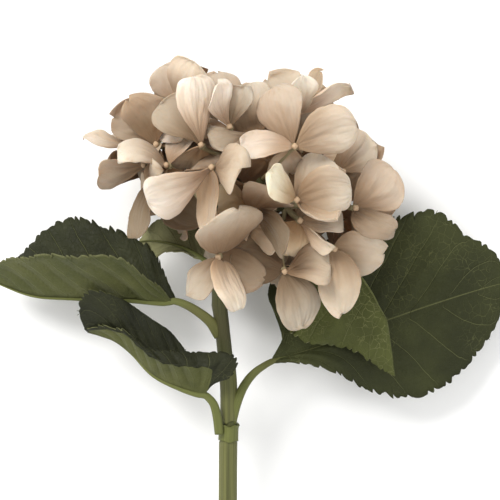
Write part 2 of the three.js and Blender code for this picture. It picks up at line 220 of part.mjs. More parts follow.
    [[34.65,66.41,37.15],[33.18,82.99,55.73],[0.733,0.541,-0.414],20.85,-0.283,-0.142,0.159,0,0,0,0.95,0.5]]],
  ["floret_31",[34.68,6.12,36],[0.704,-0.503,-0.503],[10.13,25.33,44],0,[
    [[35.07,5.2,37.25],[43.26,-14.23,63.44],[0.052,-0.802,-0.595],21.57,-0.01,0.357,-0.111,0,0,0,0.95,0.5],
    [[34.11,4.7,36.38],[23.44,-31.42,43.25],[0.122,-0.906,-0.405],21.87,-0.809,-0.214,-0.197,0,0,0,0.95,0.5],
    [[33.56,7.21,35.08],[28.13,15.75,11.59],[0.644,-0.593,-0.484],21.17,-0.337,0.213,0.131,0,0,0,0.95,0.5],
    [[35.29,7.65,36.28],[49.65,27.81,37.06],[0.742,-0.608,-0.282],20.47,-0.35,-0.002,-0.253,0,0,0,0.95,0.5]]],
  ["floret_32",[-53.04,38.25,36],[-0.938,0,-0.346],[-22.15,36.24,52],0,[
    [[-53.09,37.71,34.43],[-50.32,29,10.29],[-0.94,0.055,-0.336],20.68,-0.317,0.346,-0.136,0,0,0,0.95,0.5],
    [[-52.34,36.66,36.45],[-56.18,9.02,38.31],[-0.802,0.576,-0.161],21.63,-0.348,0.042,0.188,0,0,0,0.95,0.5],
    [[-53.77,38.49,37.31],[-72.55,42.84,58.75],[-0.749,0.543,-0.38],19.75,-0.207,0.016,0.235,0,0,0,0.95,0.5],
    [[-54.06,39.75,35.17],[-56.02,62.84,27.52],[-0.895,0.003,-0.446],21.31,-0.409,0.305,0.24,0,0,0,0.95,0.5]]],
  ["floret_33",[-39.84,67.43,34],[-0.625,0.625,-0.469],[-22.15,36.24,52],0,[
    [[-38.25,66.42,33.23],[-26.85,64.09,11.45],[-0.612,0.42,-0.67],20.54,-0.331,-0.117,0.285,0,0,0,0.95,0.5],
    [[-40.92,66.4,33.34],[-52.71,47.38,26.59],[-0.826,0.536,-0.175],20.32,-0.72,0.052,-0.417,0,0,0,0.95,0.5],
    [[-42.06,68.25,34.27],[-67.41,63.35,57.15],[-0.45,0.82,-0.355],20.45,-0.692,0.152,0.238,0,0,0,0.95,0.5],
    [[-38.85,68.53,34.53],[-26.86,94.1,39.73],[-0.757,0.575,-0.311],20.91,0.155,-0.097,0.112,0,0,0,0.95,0.5]]],
  ["floret_34",[50.06,34.74,34],[0.909,0.101,-0.404],[10.13,25.33,44],0,[
    [[50.81,33.97,35.05],[73.36,19.62,52.47],[0.713,-0.152,-0.685],21.88,0.388,0.262,-0.108,0,0,0,0.95,0.5],
    [[49.09,33.82,32.99],[47.08,22.52,14.16],[0.877,0.283,-0.389],21.39,-0.096,0.092,-0.115,0,0,0,0.95,0.5],
    [[50.38,36.17,32.92],[42.21,53.09,24.61],[0.9,0.115,-0.419],20.6,-0.256,0.131,-0.094,0,0,0,0.95,0.5],
    [[51.56,35.89,34.59],[63.17,53.23,49.82],[0.983,0.111,-0.147],21.08,-0.421,-0.409,0.114,0,0,0,0.95,0.5]]],
  ["floret_35",[6.13,-6.13,34],[0.104,-0.777,-0.621],[10.13,25.33,44],0,[
    [[6.6,-6.05,35.83],[14.86,-12.46,57.87],[-0.124,-0.832,-0.54],20.81,-0.102,-0.153,0.119,0,0,0,0.95,0.5],
    [[4.8,-7.94,33.11],[-21.23,-16.53,35.97],[0.103,-0.657,-0.747],21.71,-0.937,-0.185,0.069,0,0,0,0.95,0.5],
    [[5.61,-5.72,32.43],[-3.4,6.91,12.43],[0.048,-0.833,-0.551],20.59,-0.262,-0.025,0.014,0,0,0,0.95,0.5],
    [[7.53,-4.96,34.24],[28.13,1.98,30.14],[0.22,-0.602,-0.767],21.16,-0.308,-0.175,0.049,0,0,0,0.95,0.5]]],
  ["floret_36",[-30.8,12.32,28],[-0.609,-0.609,-0.508],[-12.71,25.42,40],0,[
    [[-29.76,11.13,27.93],[-16.55,-6.05,26.16],[-0.707,-0.529,0.469],19.42,-0.176,0.084,0.053,0,0,0,0.95,0.5],
    [[-29.74,13.61,30.38],[-29.69,16.64,49.43],[-0.491,-0.806,-0.331],20.36,-0.007,0.004,-0.254,0,0,0,0.95,0.5],
    [[-32.07,13.3,27.79],[-51.61,30.71,25.46],[-0.703,-0.699,0.133],21.2,-0.35,0.029,-0.108,0,0,0,0.95,0.5],
    [[-31.46,11.69,25.66],[-25.63,17.93,2.9],[-0.568,-0.536,-0.625],21.36,-0.528,0.314,-0.135,0,0,0,0.95,0.5]]],
  ["floret_37",[-7.23,17.57,20],[-0.094,-0.329,-0.94],[-12.71,25.42,40],0,[
    [[-5.92,16.47,19.08],[15.7,5.46,21.25],[-0.232,-0.429,-0.873],21.29,-0.534,-0.031,-0.156,0,0,0,0.95,0.5],
    [[-8.06,16.15,20.15],[-17.7,0.6,27.02],[-0.06,-0.34,-0.939],20.94,-0.385,0.046,-0.199,0,0,0,0.95,0.5],
    [[-8.61,17.99,19.02],[-33.92,27.98,6.44],[-0.686,-0.437,-0.581],21.92,-0.408,0.024,-0.014,0,0,0,0.95,0.5],
    [[-6.49,18.2,18.22],[6.15,32.13,2.68],[-0.521,0.238,-0.82],20.69,0.297,0.076,0.066,0,0,0,0.95,0.5]]],
  ["floret_38",[-19.65,51.71,19],[-0.233,0.279,-0.931],[-12.71,25.42,40],0,[
    [[-18.82,50.81,17.89],[-5.27,36.07,3.59],[0.114,0.582,-0.805],21.63,-1,0.451,-0.222,0,0,0,0.95,0.5],
    [[-21.16,51.05,17.64],[-39.56,35.38,15.55],[-0.541,0.174,-0.823],20.85,-0.238,0.061,0.007,0,0,0,0.95,0.5],
    [[-19.75,52.75,20.83],[-27.84,77.52,24.83],[-0.63,0.197,-0.751],20.79,0.004,0.033,0.223,0,0,0,0.95,0.5],
    [[-18.52,52.65,18.3],[2.57,69.36,7.04],[-0.296,0.857,-0.422],20.74,-0.153,0.258,0.401,0,0,0,0.95,0.5]]],
  ["floret_39",[18.1,42.4,19],[0.329,0.094,-0.94],[10.13,25.33,44],0,[
    [[19.19,41.22,16.81],[28.07,19.02,6.84],[0.79,-0.104,-0.604],21.63,-0.378,-0.078,0.095,0,0,0,0.95,0.5],
    [[16.78,42.07,18.25],[-1.69,37.49,4.05],[-0.149,0.706,-0.692],20.74,0.151,0.36,0.102,0,0,0,0.95,0.5],
    [[17.11,43.78,20.38],[10.68,67.01,17.08],[0.634,0.245,-0.733],20.58,-0.18,0.238,-0.161,0,0,0,0.95,0.5],
    [[19.98,42.89,18.34],[42.46,48.51,26.32],[0.513,0.286,-0.81],20.89,-0.332,-0.021,-0.153,0,0,0,0.95,0.5]]]
];

// ---- small vector helpers ------------------------------------------------
const add = (a, b) => [a[0] + b[0], a[1] + b[1], a[2] + b[2]];
const sub = (a, b) => [a[0] - b[0], a[1] - b[1], a[2] - b[2]];
const mul = (a, k) => [a[0] * k, a[1] * k, a[2] * k];
const dot = (a, b) => a[0] * b[0] + a[1] * b[1] + a[2] * b[2];
const cross = (a, b) => [a[1] * b[2] - a[2] * b[1], a[2] * b[0] - a[0] * b[2], a[0] * b[1] - a[1] * b[0]];
const len = (a) => Math.hypot(a[0], a[1], a[2]);
const unit = (a) => mul(a, 1 / Math.max(len(a), 1e-12));
const lerp = (a, b, f) => add(mul(a, 1 - f), mul(b, f));

const wasm = await Module();
wasm.setup();
const { Manifold, Mesh } = wasm;
const solid = (verts, tris) => {
  const vp = new Float32Array(verts.length * 3), tv = new Uint32Array(tris.length * 3);
  verts.forEach((v, i) => vp.set(v, i * 3));
  tris.forEach((t, i) => tv.set(t, i * 3));
  let m = new Manifold(new Mesh({ numProp: 3, vertProperties: vp, triVerts: tv }));
  if (m.volume() < 0) {
    tris.forEach((t, i) => tv.set([t[0], t[2], t[1]], i * 3));
    m = new Manifold(new Mesh({ numProp: 3, vertProperties: vp, triVerts: tv }));
  }
  return m;
};

// ---- petal surface ---------------------------------------------------------
const NK = 24;
function petalFrame(B, T, N0, bend) {
  let D = sub(T, B); const chord = len(D); D = unit(D);
  const N = unit(sub(N0, mul(D, dot(N0, D)))), S = cross(N, D);
  const th = [], X = [0], Z = [0];
  for (let i = 0; i <= NK; i++) th.push(bend * (i / NK - 0.5));
  for (let i = 0; i < NK; i++) {
    X.push(X[i] + (Math.cos(th[i]) + Math.cos(th[i + 1])) / 2 / NK);
    Z.push(Z[i] + (Math.sin(th[i]) + Math.sin(th[i + 1])) / 2 / NK);
  }
  const a = Math.atan2(Z[NK], X[NK]), L = chord / Math.hypot(X[NK], Z[NK]);
  const ca = Math.cos(a), sa = Math.sin(a), x = [], z = [];
  for (let i = 0; i <= NK; i++) {
    x.push((X[i] * ca + Z[i] * sa) * L);
    z.push((-X[i] * sa + Z[i] * ca) * L);
    th[i] -= a;
  }
  return { B, D, N, S, x, z, th };
}
// half width along the petal: a sets how fast it widens, b how blunt the tip is
const halfWidth = (u, a, b) => {
  const m = a / (a + b);
  return PETAL_BASE * (1 - u) ** 3 + (u ** a) * ((1 - u) ** b) / ((m ** a) * ((1 - m) ** b));
};
function petalPoint(f, q, s, t) {
  const [, , , W, , cup, twist, fold, sweep, lop, wa, wb] = q;
  const u = Math.min(s * Math.sqrt(1 - t * t / 2), 1), den = Math.sqrt(Math.max(1 - u * u, 1e-12));
  const te = den > 1e-5 ? Math.max(-1, Math.min(1, t * Math.sqrt(1 - s * s / 2) / Math.max(den, 1e-6))) : 0;
  const k = u * NK, i = Math.min(Math.floor(k), NK - 1), g = k - i;
  const at = (v) => v[i] * (1 - g) + v[i + 1] * g;
  const x = at(f.x), z = at(f.z), a = at(f.th), w = W / 2 * halfWidth(u, wa, wb) * (1 + lop * te), tw = twist * (u - 0.3);
  let c = cup * (0.5 + 0.5 * u); if (Math.abs(c) < 1e-4) c = 1e-4;
  const lat = w * Math.sin(c * te) / c;
  const rise = w * (1 - Math.cos(c * te)) / c + w * fold * (Math.sqrt(te * te + 0.02) - Math.sqrt(0.02));
  const ls = lat * Math.cos(tw) - rise * Math.sin(tw) + sweep * W * Math.sin(Math.PI * u) / 2, ln = lat * Math.sin(tw) + rise * Math.cos(tw);
  let p = add(f.B, add(mul(f.D, x - ln * Math.sin(a)), mul(f.N, z + ln * Math.cos(a))));
  return add(p, mul(f.S, ls));
}

// ---- a closed sheet from a grid of points ----------------------------------
function sheet(grid, thick) {
  const n = grid.length, m = grid[0].length, top = [], bot = [];
  const N = grid.map((row, i) => row.map((p, j) => { // mean of the strips beside each column
    const di = sub(grid[Math.min(i + 1, n - 1)][j], grid[Math.max(i - 1, 0)][j]);
    const a = j > 0 ? unit(cross(di, sub(p, row[j - 1]))) : [0, 0, 0];
    const b = j < m - 1 ? unit(cross(di, sub(row[j + 1], p))) : [0, 0, 0];
    return unit(add(a, b));
  }));
  // the narrow ends take the direction of the row beside them
  for (const [e, k] of [[0, 1], [n - 1, n - 2]]) N[e] = N[e].map((v, j) => (dot(v, N[k][j]) < 0.8 ? N[k][j] : v));
  grid.forEach((row, i) => row.forEach((p, j) => {
    const nn = mul(N[i][j], thick / 2);
    top.push(add(p, nn)); bot.push(sub(p, nn));
  }));
  const K = n * m, tris = [], id = (i, j) => i * m + j;
  for (let i = 0; i < n - 1; i++) for (let j = 0; j < m - 1; j++) {
    const a = id(i, j), b = id(i + 1, j), c = id(i + 1, j + 1), d = id(i, j + 1);
    tris.push([a, b, c], [a, c, d], [a + K, c + K, b + K], [a + K, d + K, c + K]);
  }
  const rim = [];
  for (let j = 0; j < m - 1; j++) rim.push([id(0, j + 1), id(0, j)], [id(n - 1, j), id(n - 1, j + 1)]);
  for (let i = 0; i < n - 1; i++) rim.push([id(i, 0), id(i + 1, 0)], [id(i + 1, m - 1), id(i, m - 1)]);
  for (const [a, b] of rim) tris.push([b, a, a + K], [b, a + K, b + K]);
  return solid([...top, ...bot], tris);
}
function petal(q, ns, nt, thick, grow = 0, root = null) {
  const p = grow ? [q[0], add(q[1], mul(unit(sub(q[1], q[0])), grow)), q[2], q[3] + 2 * grow, ...q.slice(4)] : q;
  const f = petalFrame(p[0], p[1], p[2], p[4]), g = [];
  for (let i = 0; i <= ns; i++) {
    const row = [];
    for (let j = 0; j <= nt; j++) row.push(petalPoint(f, p, i / ns, -1 + 2 * j / nt));
    g.push(row);
  }
  if (root) { const c = g[0][nt / 2], h = lerp(root, c, 0.45); g[0] = g[0].map((v) => add(h, mul(sub(v, c), 0.8))); }
  return sheet(g, thick);
}

// ---- tubes along a line of points ------------------------------------------
function tube(pts, rad, n = 6, flat = null) {
  const V = [], T = [], K = pts.length;
  pts.forEach((p, i) => {
    const d = unit(sub(pts[Math.min(i + 1, K - 1)], pts[Math.max(i - 1, 0)]));
    const ref = Math.abs(d[2]) > 0.95 ? [1, 0, 0] : [0, 0, 1];
    const x = unit(cross(d, ref)), y = cross(x, d);
    const rx = rad[i], ry = flat ? flat[i] : rad[i];
    for (let k = 0; k < n; k++) {
      const a = 2 * Math.PI * (k + 0.5) / n;
      V.push(add(p, add(mul(x, rx * Math.cos(a)), mul(y, ry * Math.sin(a)))));
    }
  });
  for (let i = 0; i < K - 1; i++) for (let k = 0; k < n; k++) {
    const a = i * n + k, b = i * n + (k + 1) % n;
    T.push([a, b, b + n], [a, b + n, a + n]);
  }
  for (let k = 1; k < n - 1; k++) T.push([0, k + 1, k], [(K - 1) * n, (K - 1) * n + k, (K - 1) * n + k + 1]);
  return solid(V, T);
}
const ball = (c, r, n = 8) => Manifold.sphere(r, n).translate(c);
const bez = (a, b, c, n) => Array.from({ length: n + 1 }, (_, i) => {
  const t = i / n; return lerp(lerp(a, b, t), lerp(b, c, t), t);
});
function smooth(rows, s) { // cubic through rows [s, ...values]
  let k = 0; while (k < rows.length - 2 && s > rows[k + 1][0]) k++;
  const D = rows[0].length, out = [], h = rows[k + 1][0] - rows[k][0], t = (s - rows[k][0]) / h;
  const tan = (i, c) => {
    const sl = (a) => (rows[a + 1][c] - rows[a][c]) / (rows[a + 1][0] - rows[a][0]);
    if (i === 0) return sl(0);
    if (i === rows.length - 1) return sl(i - 1);
    const h0 = rows[i][0] - rows[i - 1][0], h1 = rows[i + 1][0] - rows[i][0];
    return (sl(i - 1) * h1 + sl(i) * h0) / (h0 + h1);
  };
  for (let c = 1; c < D; c++) {
    out.push((2 * t ** 3 - 3 * t * t + 1) * rows[k][c] + (t ** 3 - 2 * t * t + t) * h * tan(k, c)
      + (-2 * t ** 3 + 3 * t * t) * rows[k + 1][c] + (t ** 3 - t * t) * h * tan(k + 1, c));
  }
  return out;
}

// ---- stem, branches, sheath and collar --------------------------------------
const stemRows = (() => {
  let L = [0];
  for (let i = 1; i < STEM.length; i++) L.push(L[i - 1] + len(sub(STEM[i], STEM[i - 1])));
  return STEM.map((p, i) => [L[i] / L[L.length - 1] , ...p]);
})();
const UP = stemRows[9][0] / 0.615; // share of the length that carries leaves
const stemAt = (s) => smooth(stemRows, s);
function alongStem(a, b, n, r, grow = 0, sides = 8) {
  const pts = [], rad = [];
  for (let i = 0; i <= n; i++) {
    const v = stemAt(a + (b - a) * i / n);
    pts.push(v.slice(0, 3)); rad.push((r === null ? v[3] : r) + grow);
  }
  return tube(pts, rad, sides);
}
function stalk(grow = 0) {
  const s9 = stemRows[9][0];
  let m = alongStem(0, s9 + 0.004, 9, 3.7, grow, 8).add(alongStem(s9, 1, 3, 4.75, grow, 10));
  m = m.add(ball(HUB, HUB_R + grow, 8));
  for (const k of KNOBS) {
    const c = add(lerp(HUB, k, 0.5), [0, 3, 0]), p = bez(HUB, c, k, 2);
    m = m.add(tube(p, p.map((_, i) => RAY_R[0] + (RAY_R[1] - RAY_R[0]) * i / 2 + grow), 4)).add(ball(k, KNOB_R + grow, 4));
  }
  return m;
}
const s = (f) => f * UP;
const ringPiece = ([a, b], [ri, ro], grow = 0) => {
  const outer = alongStem(s(a) - grow * 0.003, s(b) + grow * 0.003, 3, ro, grow);
  return grow ? outer : outer.subtract(alongStem(s(a) - 0.01, s(b) + 0.01, 3, ri));
};

// ---- leaves ------------------------------------------------------------------
function leaf([, , pet, rails], grow = 0) {
  const NS = 8, per = 1, g = [], t = LEAF_THICK + 2 * grow;
  for (let i = 0; i <= NS; i++) {
    const sv = i / NS, c = rails.map((r) => smooth(r, sv)), row = [];
    for (let k = 0; k < c.length - 1; k++) for (let j = 0; j < per; j++) row.push(lerp(c[k], c[k + 1], j / per));
    row.push(c[c.length - 1]);
    g.push(row);
  }
  if (grow) { // widen the blade past its margins too
    for (const row of g) {
      const m = row.length - 1;
      row[0] = add(row[0], mul(unit(sub(row[0], row[1])), grow * 1.4));
      row[m] = add(row[m], mul(unit(sub(row[m], row[m - 1])), grow * 1.4));
    }
    const m = g.length - 1, step = (a, b) => a.map((v, j) => add(v, mul(unit(sub(v, b[j])), grow * 1.4)));
    g[0] = step(g[0], g[1]); g[m] = step(g[m], g[m - 1]);
  }
  const n = 5, rows = pet.map((p, i) => [i / (pet.length - 1), ...p]), pts = [], w = [], d = [];
  for (let i = 0; i <= n; i++) {
    const v = smooth(rows, i / n);
    pts.push(v.slice(0, 3)); w.push(v[3] / 2 + grow); d.push(v[4] / 2 + grow);
  }
  const dir = unit(sub(pts[n], pts[n - 1]));
  pts.push(add(pts[n], mul(dir, 7))); w.push(0.9 + grow); d.push(0.9 + grow);
  return sheet(g, t).add(tube(pts, w, 5, d));
}

// ---- florets -------------------------------------------------------------------
function pedicelPath([, C, A, K]) {
  const from = sub(C, mul(A, 0.5)), ctl = sub(C, mul(A, 9));
  const dir = unit(sub(K, ctl)), end = sub(K, mul(dir, KNOB_R + GAP + 0.25));
  return bez(from, ctl, end, 3);
}
function floretParts(f, grow = 0) {
  const out = [], fine = f[4] ? [3, 2] : [2, 2];
  for (const q of f[5]) out.push(petal(q, fine[0], fine[1], PETAL_THICK + 2 * grow, grow, f[1]));
  const p = pedicelPath(f);
  out.push(tube(p, p.map((_, i) => PEDICEL_R[0] + (PEDICEL_R[1] - PEDICEL_R[0]) * i / 3 + grow), 4));
  out.push(ball(add(f[1], mul(f[2], 0.3)), BUD_R + grow, 8));
  return out;
}
const join = (l) => l.reduce((a, b) => a.add(b));
const apart = (a, b, g = 0.02) => {
  const p = a.boundingBox(), q = b.boundingBox();
  for (let k = 0; k < 3; k++) if (p.min[k] > q.max[k] + g || q.min[k] > p.max[k] + g) return true;
  return false;
};
const biggest = (m) => m.decompose().sort((a, b) => b.volume() - a.volume())[0];

const pieces = []; // { name, body, colour, rough }
const fixed = [];  // grown bodies that later pieces keep clear of
const place = (name, body, grown, colour, rough) => {
  for (const g of fixed) if (!apart(body, g)) body = body.subtract(g);
  body = biggest(body).simplify(0.06);
  pieces.push({ name, body, colour, rough });
  fixed.push(...grown);
};
place('main_stem', stalk(), [stalk(GAP)], 0x646c42, 0.6);
place('stem_sleeve', ringPiece(SLEEVE_SPAN, SLEEVE_R), [ringPiece(SLEEVE_SPAN, SLEEVE_R, GAP)], 0x5f683c, 0.6);
place('stem_collar', ringPiece(COLLAR_SPAN, COLLAR_R), [ringPiece(COLLAR_SPAN, COLLAR_R, GAP)], 0x6c7443, 0.6);
for (const L of LEAVES) place(L[0], leaf(L), [leaf(L, GAP)], L[0] === 'leaf_up_right' ? 0x4c5a30 : 0x3a4228, 0.55);
const TINT = [0xcdb9a0, 0xd8c8b6, 0xc2aa8c, 0xb89f80, 0xd2bd9c];
FLORETS.forEach((f, i) => place(f[0], join(floretParts(f)), floretParts(f, GAP), TINT[i % TINT.length], 0.8));

// ---- meshes ----------------------------------------------------------------------
const group = new THREE.Group();
group.name = 'cut_hydrangea';
for (const { name, body, colour, rough } of pieces) {
  const m = body.translate(ORIGIN).getMesh(), g = new THREE.BufferGeometry();
  const pos = new Float32Array(m.numVert * 3);
  for (let i = 0; i < m.numVert; i++) for (let k = 0; k < 3; k++) pos[i * 3 + k] = m.vertProperties[i * m.numProp + k];
  g.setAttribute('position', new THREE.BufferAttribute(pos, 3));
  g.setIndex(new THREE.BufferAttribute(new Uint32Array(m.triVerts), 1));
  g.computeVertexNormals();
  const mesh = new THREE.Mesh(g, new THREE.MeshStandardMaterial({ color: colour, roughness: rough, metalness: 0 }));
  mesh.name = name;
  group.add(mesh);
}
export default group;
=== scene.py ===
import math
import random

import bpy
import numpy as np
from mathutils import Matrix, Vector


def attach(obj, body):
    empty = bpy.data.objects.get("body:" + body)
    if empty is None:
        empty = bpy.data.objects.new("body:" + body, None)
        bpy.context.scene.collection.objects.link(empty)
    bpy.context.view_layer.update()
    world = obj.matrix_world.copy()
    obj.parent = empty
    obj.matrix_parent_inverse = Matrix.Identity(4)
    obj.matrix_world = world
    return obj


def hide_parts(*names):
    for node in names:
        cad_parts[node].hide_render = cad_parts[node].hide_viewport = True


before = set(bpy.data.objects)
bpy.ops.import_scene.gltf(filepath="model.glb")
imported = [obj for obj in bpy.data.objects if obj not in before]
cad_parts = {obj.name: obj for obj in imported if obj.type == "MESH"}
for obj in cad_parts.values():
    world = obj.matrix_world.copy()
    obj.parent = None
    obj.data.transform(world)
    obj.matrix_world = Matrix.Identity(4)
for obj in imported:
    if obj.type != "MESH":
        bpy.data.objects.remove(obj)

# ---------------------------------------------------------------- camera ----
scene = bpy.context.scene
cam_data = bpy.data.cameras.new("camera")
cam_data.lens = 172.8
cam_data.sensor_width = 36.0
cam_data.clip_start = 0.05
cam_data.clip_end = 20.0
camera = bpy.data.objects.new("camera", cam_data)
scene.collection.objects.link(camera)
scene.camera = camera


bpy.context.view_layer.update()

# ------------------------------------------------------------ dimensions ----
# Millimetres, in the same frame as the CAD before ORIGIN is added.
ORIGIN = np.array([0.585,112.699,-0.194])
STEM = [
  [-5,13,60,3.4],
  [-7,7,60,3.6],
  [-12.08,-6.04,52,3.7],
  [-15.42,-17.69,47,3.7],
  [-15.43,-25.3,45.8,3.7],
  [-14.19,-38,44,3.7],
  [-12.69,-51.76,42,3.7],
  [-10.93,-68.65,39.6,3.7],
  [-10.69,-81.48,37.8,3.7],
  [-11.07,-96.93,35.6,4.75],
  [-11.26,-128,31.2,4.75],
  [-11.51,-319,4.9,4.75]]
HUB = [-5,13,60]
KNOBS = [[-13.79,29.55,78], [5.9,34.42,80], [17.3,21.74,74], [-22.39,21.89,66], [-8.96,45.77,66], [17.5,41,60], [-22.15,36.24,52], [10.13,25.33,44], [-12.71,25.42,40]]
LEAVES = [
  ["leaf_mid_left",1,[[-15.95,-42.54,44.5,6,3.4],[-20.23,-36.15,46.5,5.4,3.2],[-27.3,-30.59,46.7,4.6,3.2],[-34.4,-26.81,46,4,3],[-39.99,-25.57,45,3.4,2.8]],[
    [[0,-37.52,-24.85,43],[0.05,-42.16,-15.24,41],[0.12,-46.41,-6.12,36],[0.25,-54.7,3.58,33],[0.4,-73.35,11.28,29],[0.55,-91.6,15.95,25],[0.7,-104.2,10.83,22],[0.8,-112.03,3.61,21],[0.9,-121.32,-4.13,21],[1,-136.07,-12.37,23]],
    [[0,-39.49,-26.83,45],[0.12,-50.75,-25.88,42],[0.25,-62.63,-24.95,38],[0.5,-90.42,-24.26,34],[0.75,-112.84,-22.57,29],[0.9,-125.97,-18,26],[1,-136.47,-13.39,24]],
    [[0,-40.43,-24.77,47],[0.05,-44.29,-19.63,52],[0.12,-50.08,-15.03,58],[0.25,-61.14,-5.96,67],[0.4,-78.41,-2.98,69],[0.55,-94.19,-3.49,64],[0.75,-111.28,-3.51,57],[0.9,-125.25,-6.08,43],[1,-135.28,-12.35,25.5]]]],
  ["leaf_low_left",1,[[-15.74,-92.4,41.5,4.6,2.6],[-16.73,-84.14,43.5,4.6,3],[-18.73,-77.44,45.3,4.2,3],[-23.01,-72.82,46.3,3.6,2.8]],[
    [[0,-25.31,-69.86,45],[0.1,-28.4,-59.33,43],[0.2,-32.99,-50.75,42],[0.3,-39.08,-42.63,42],[0.45,-49.15,-35.47,44],[0.6,-59.13,-28.3,47],[0.7,-66.1,-23.72,49],[0.8,-75.62,-21.18,50],[0.88,-83.9,-23.75,47],[0.95,-86.35,-32.51,41],[1,-84.15,-40.8,36]],
    [[0,-23.26,-73.33,46.3],[0.2,-34.4,-69.81,46],[0.45,-49.15,-62.83,44],[0.65,-59.93,-52.82,41],[0.8,-68.74,-46.84,38],[1,-82.72,-41.87,34.5]],
    [[0,-21.19,-70.64,49],[0.1,-19.02,-60.55,59],[0.25,-31.45,-58.4,62],[0.45,-45,-55.5,60],[0.6,-54.23,-49.71,55],[0.75,-63.02,-42.85,50],[0.9,-74.54,-40.31,43],[1,-82.04,-40.77,37]],
    [[0,-18.62,-66.94,52],[0.06,-10.02,-63.66,57],[0.1,-7.01,-58.07,58.5],[0.16,-8.51,-53.57,58.5],[0.28,-22.56,-50.88,57],[0.4,-37.15,-51.21,55],[0.5,-46.73,-50.75,54],[0.6,-53.83,-47.29,52.5],[0.75,-63.55,-40.85,49.5],[0.9,-74.99,-39.01,44],[1,-82.99,-40.22,38]]]],
  ["leaf_up_left",1,[[-14.11,-13.1,50.5,4.2,2.6],[-17.17,-10.1,48,3.8,2.6],[-20.76,-7.09,45,3.2,2.4],[-23.83,-4.56,43,2.8,2.2]],[
    [[0,-23.85,-3.04,42],[0.12,-21.89,5.09,38],[0.3,-27.59,11.75,34],[0.5,-36.36,15.36,31],[0.7,-46.16,15.39,29],[0.85,-52.36,11.29,28],[1,-56.98,4.62,28]],
    [[0,-23.33,-4.82,43],[0.3,-32.02,0,40],[0.6,-43.35,3.57,36],[0.85,-52.23,4.61,31],[1,-57.47,3.85,28.5]],
    [[0,-23.85,-6.09,42],[0.15,-26.9,-4.06,42],[0.3,-32.48,-2.03,42],[0.5,-40.67,-0.51,40],[0.7,-47.94,-3.57,36],[0.85,-51.68,-0.51,32],[1,-56.96,3.08,28.5]]]],
  ["leaf_low_right",1,[[-8.91,-87.03,38.5,4.4,2.8],[-6.86,-78.25,40.5,4.8,3.2],[-3.3,-69.56,41.5,4.6,3.2],[2.29,-62.25,40.5,4,3],[10.18,-57,38.5,3.2,2.6]],[
    [[0,11.71,-54.48,38],[0.03,16.82,-43.82,37],[0.09,9.2,-22.49,33],[0.16,20.48,-6.14,31],[0.27,38.44,3.59,30],[0.42,58.99,11.28,29],[0.56,78.03,16.43,28],[0.7,95.64,18.77,26],[0.78,103.52,14.42,24],[0.86,112.45,5.67,22],[0.94,126.07,-1.55,20],[1,134.33,-15.5,20]],
    [[0,10.69,-56.52,38],[0.2,36.21,-48.96,36],[0.48,70.61,-35.82,32],[0.7,97.61,-26.72,27],[0.93,126.95,-18.06,21.5],[1,135.37,-16.02,20]],
    [[0,12.22,-57.79,38],[0.05,17.31,-57.28,38],[0.15,30.59,-58.12,36.5],[0.25,43.42,-61.81,34],[0.4,61.04,-70.78,29],[0.53,79.25,-75.13,25],[0.66,93.88,-72.22,22],[0.77,105.92,-64.58,20],[0.87,118.51,-51.23,18],[0.95,127.82,-37.26,18],[1,134.96,-17.58,19]]]],
  ["leaf_up_right",1,[[-11.84,-13.61,50.5,4.2,2.6],[0,-13.62,49.5,3.8,2.8],[20.16,-13.1,50.5,3.2,2.6],[37.75,-9.06,52,2.8,2.4]],[
    [[0,41.34,-10.08,50],[0.15,48.01,-18.7,47],[0.3,51.62,-26.31,45.5],[0.5,55.76,-36.49,43.5],[0.7,60.9,-45.67,42],[0.85,67.02,-53.82,41.5],[1,72.57,-62.93,42]],
    [[0,37.25,-8.56,52],[0.12,51.25,-11.05,54],[0.3,59.27,-19.09,54.5],[0.5,64.85,-28.65,53.5],[0.7,69.52,-36.77,51],[0.85,71.23,-46.48,47.5],[1,73.53,-63.89,43]],
    [[0,34.26,-10.08,51],[0.12,23.2,-19.17,49.5],[0.25,19.18,-31.3,48.5],[0.33,20.7,-39.88,48.5],[0.45,29.28,-45.94,48.5],[0.58,40.89,-47.96,48.5],[0.72,52.02,-49.99,48],[0.86,61.71,-56.15,46],[1,71.98,-63.36,43.5]]]]
]
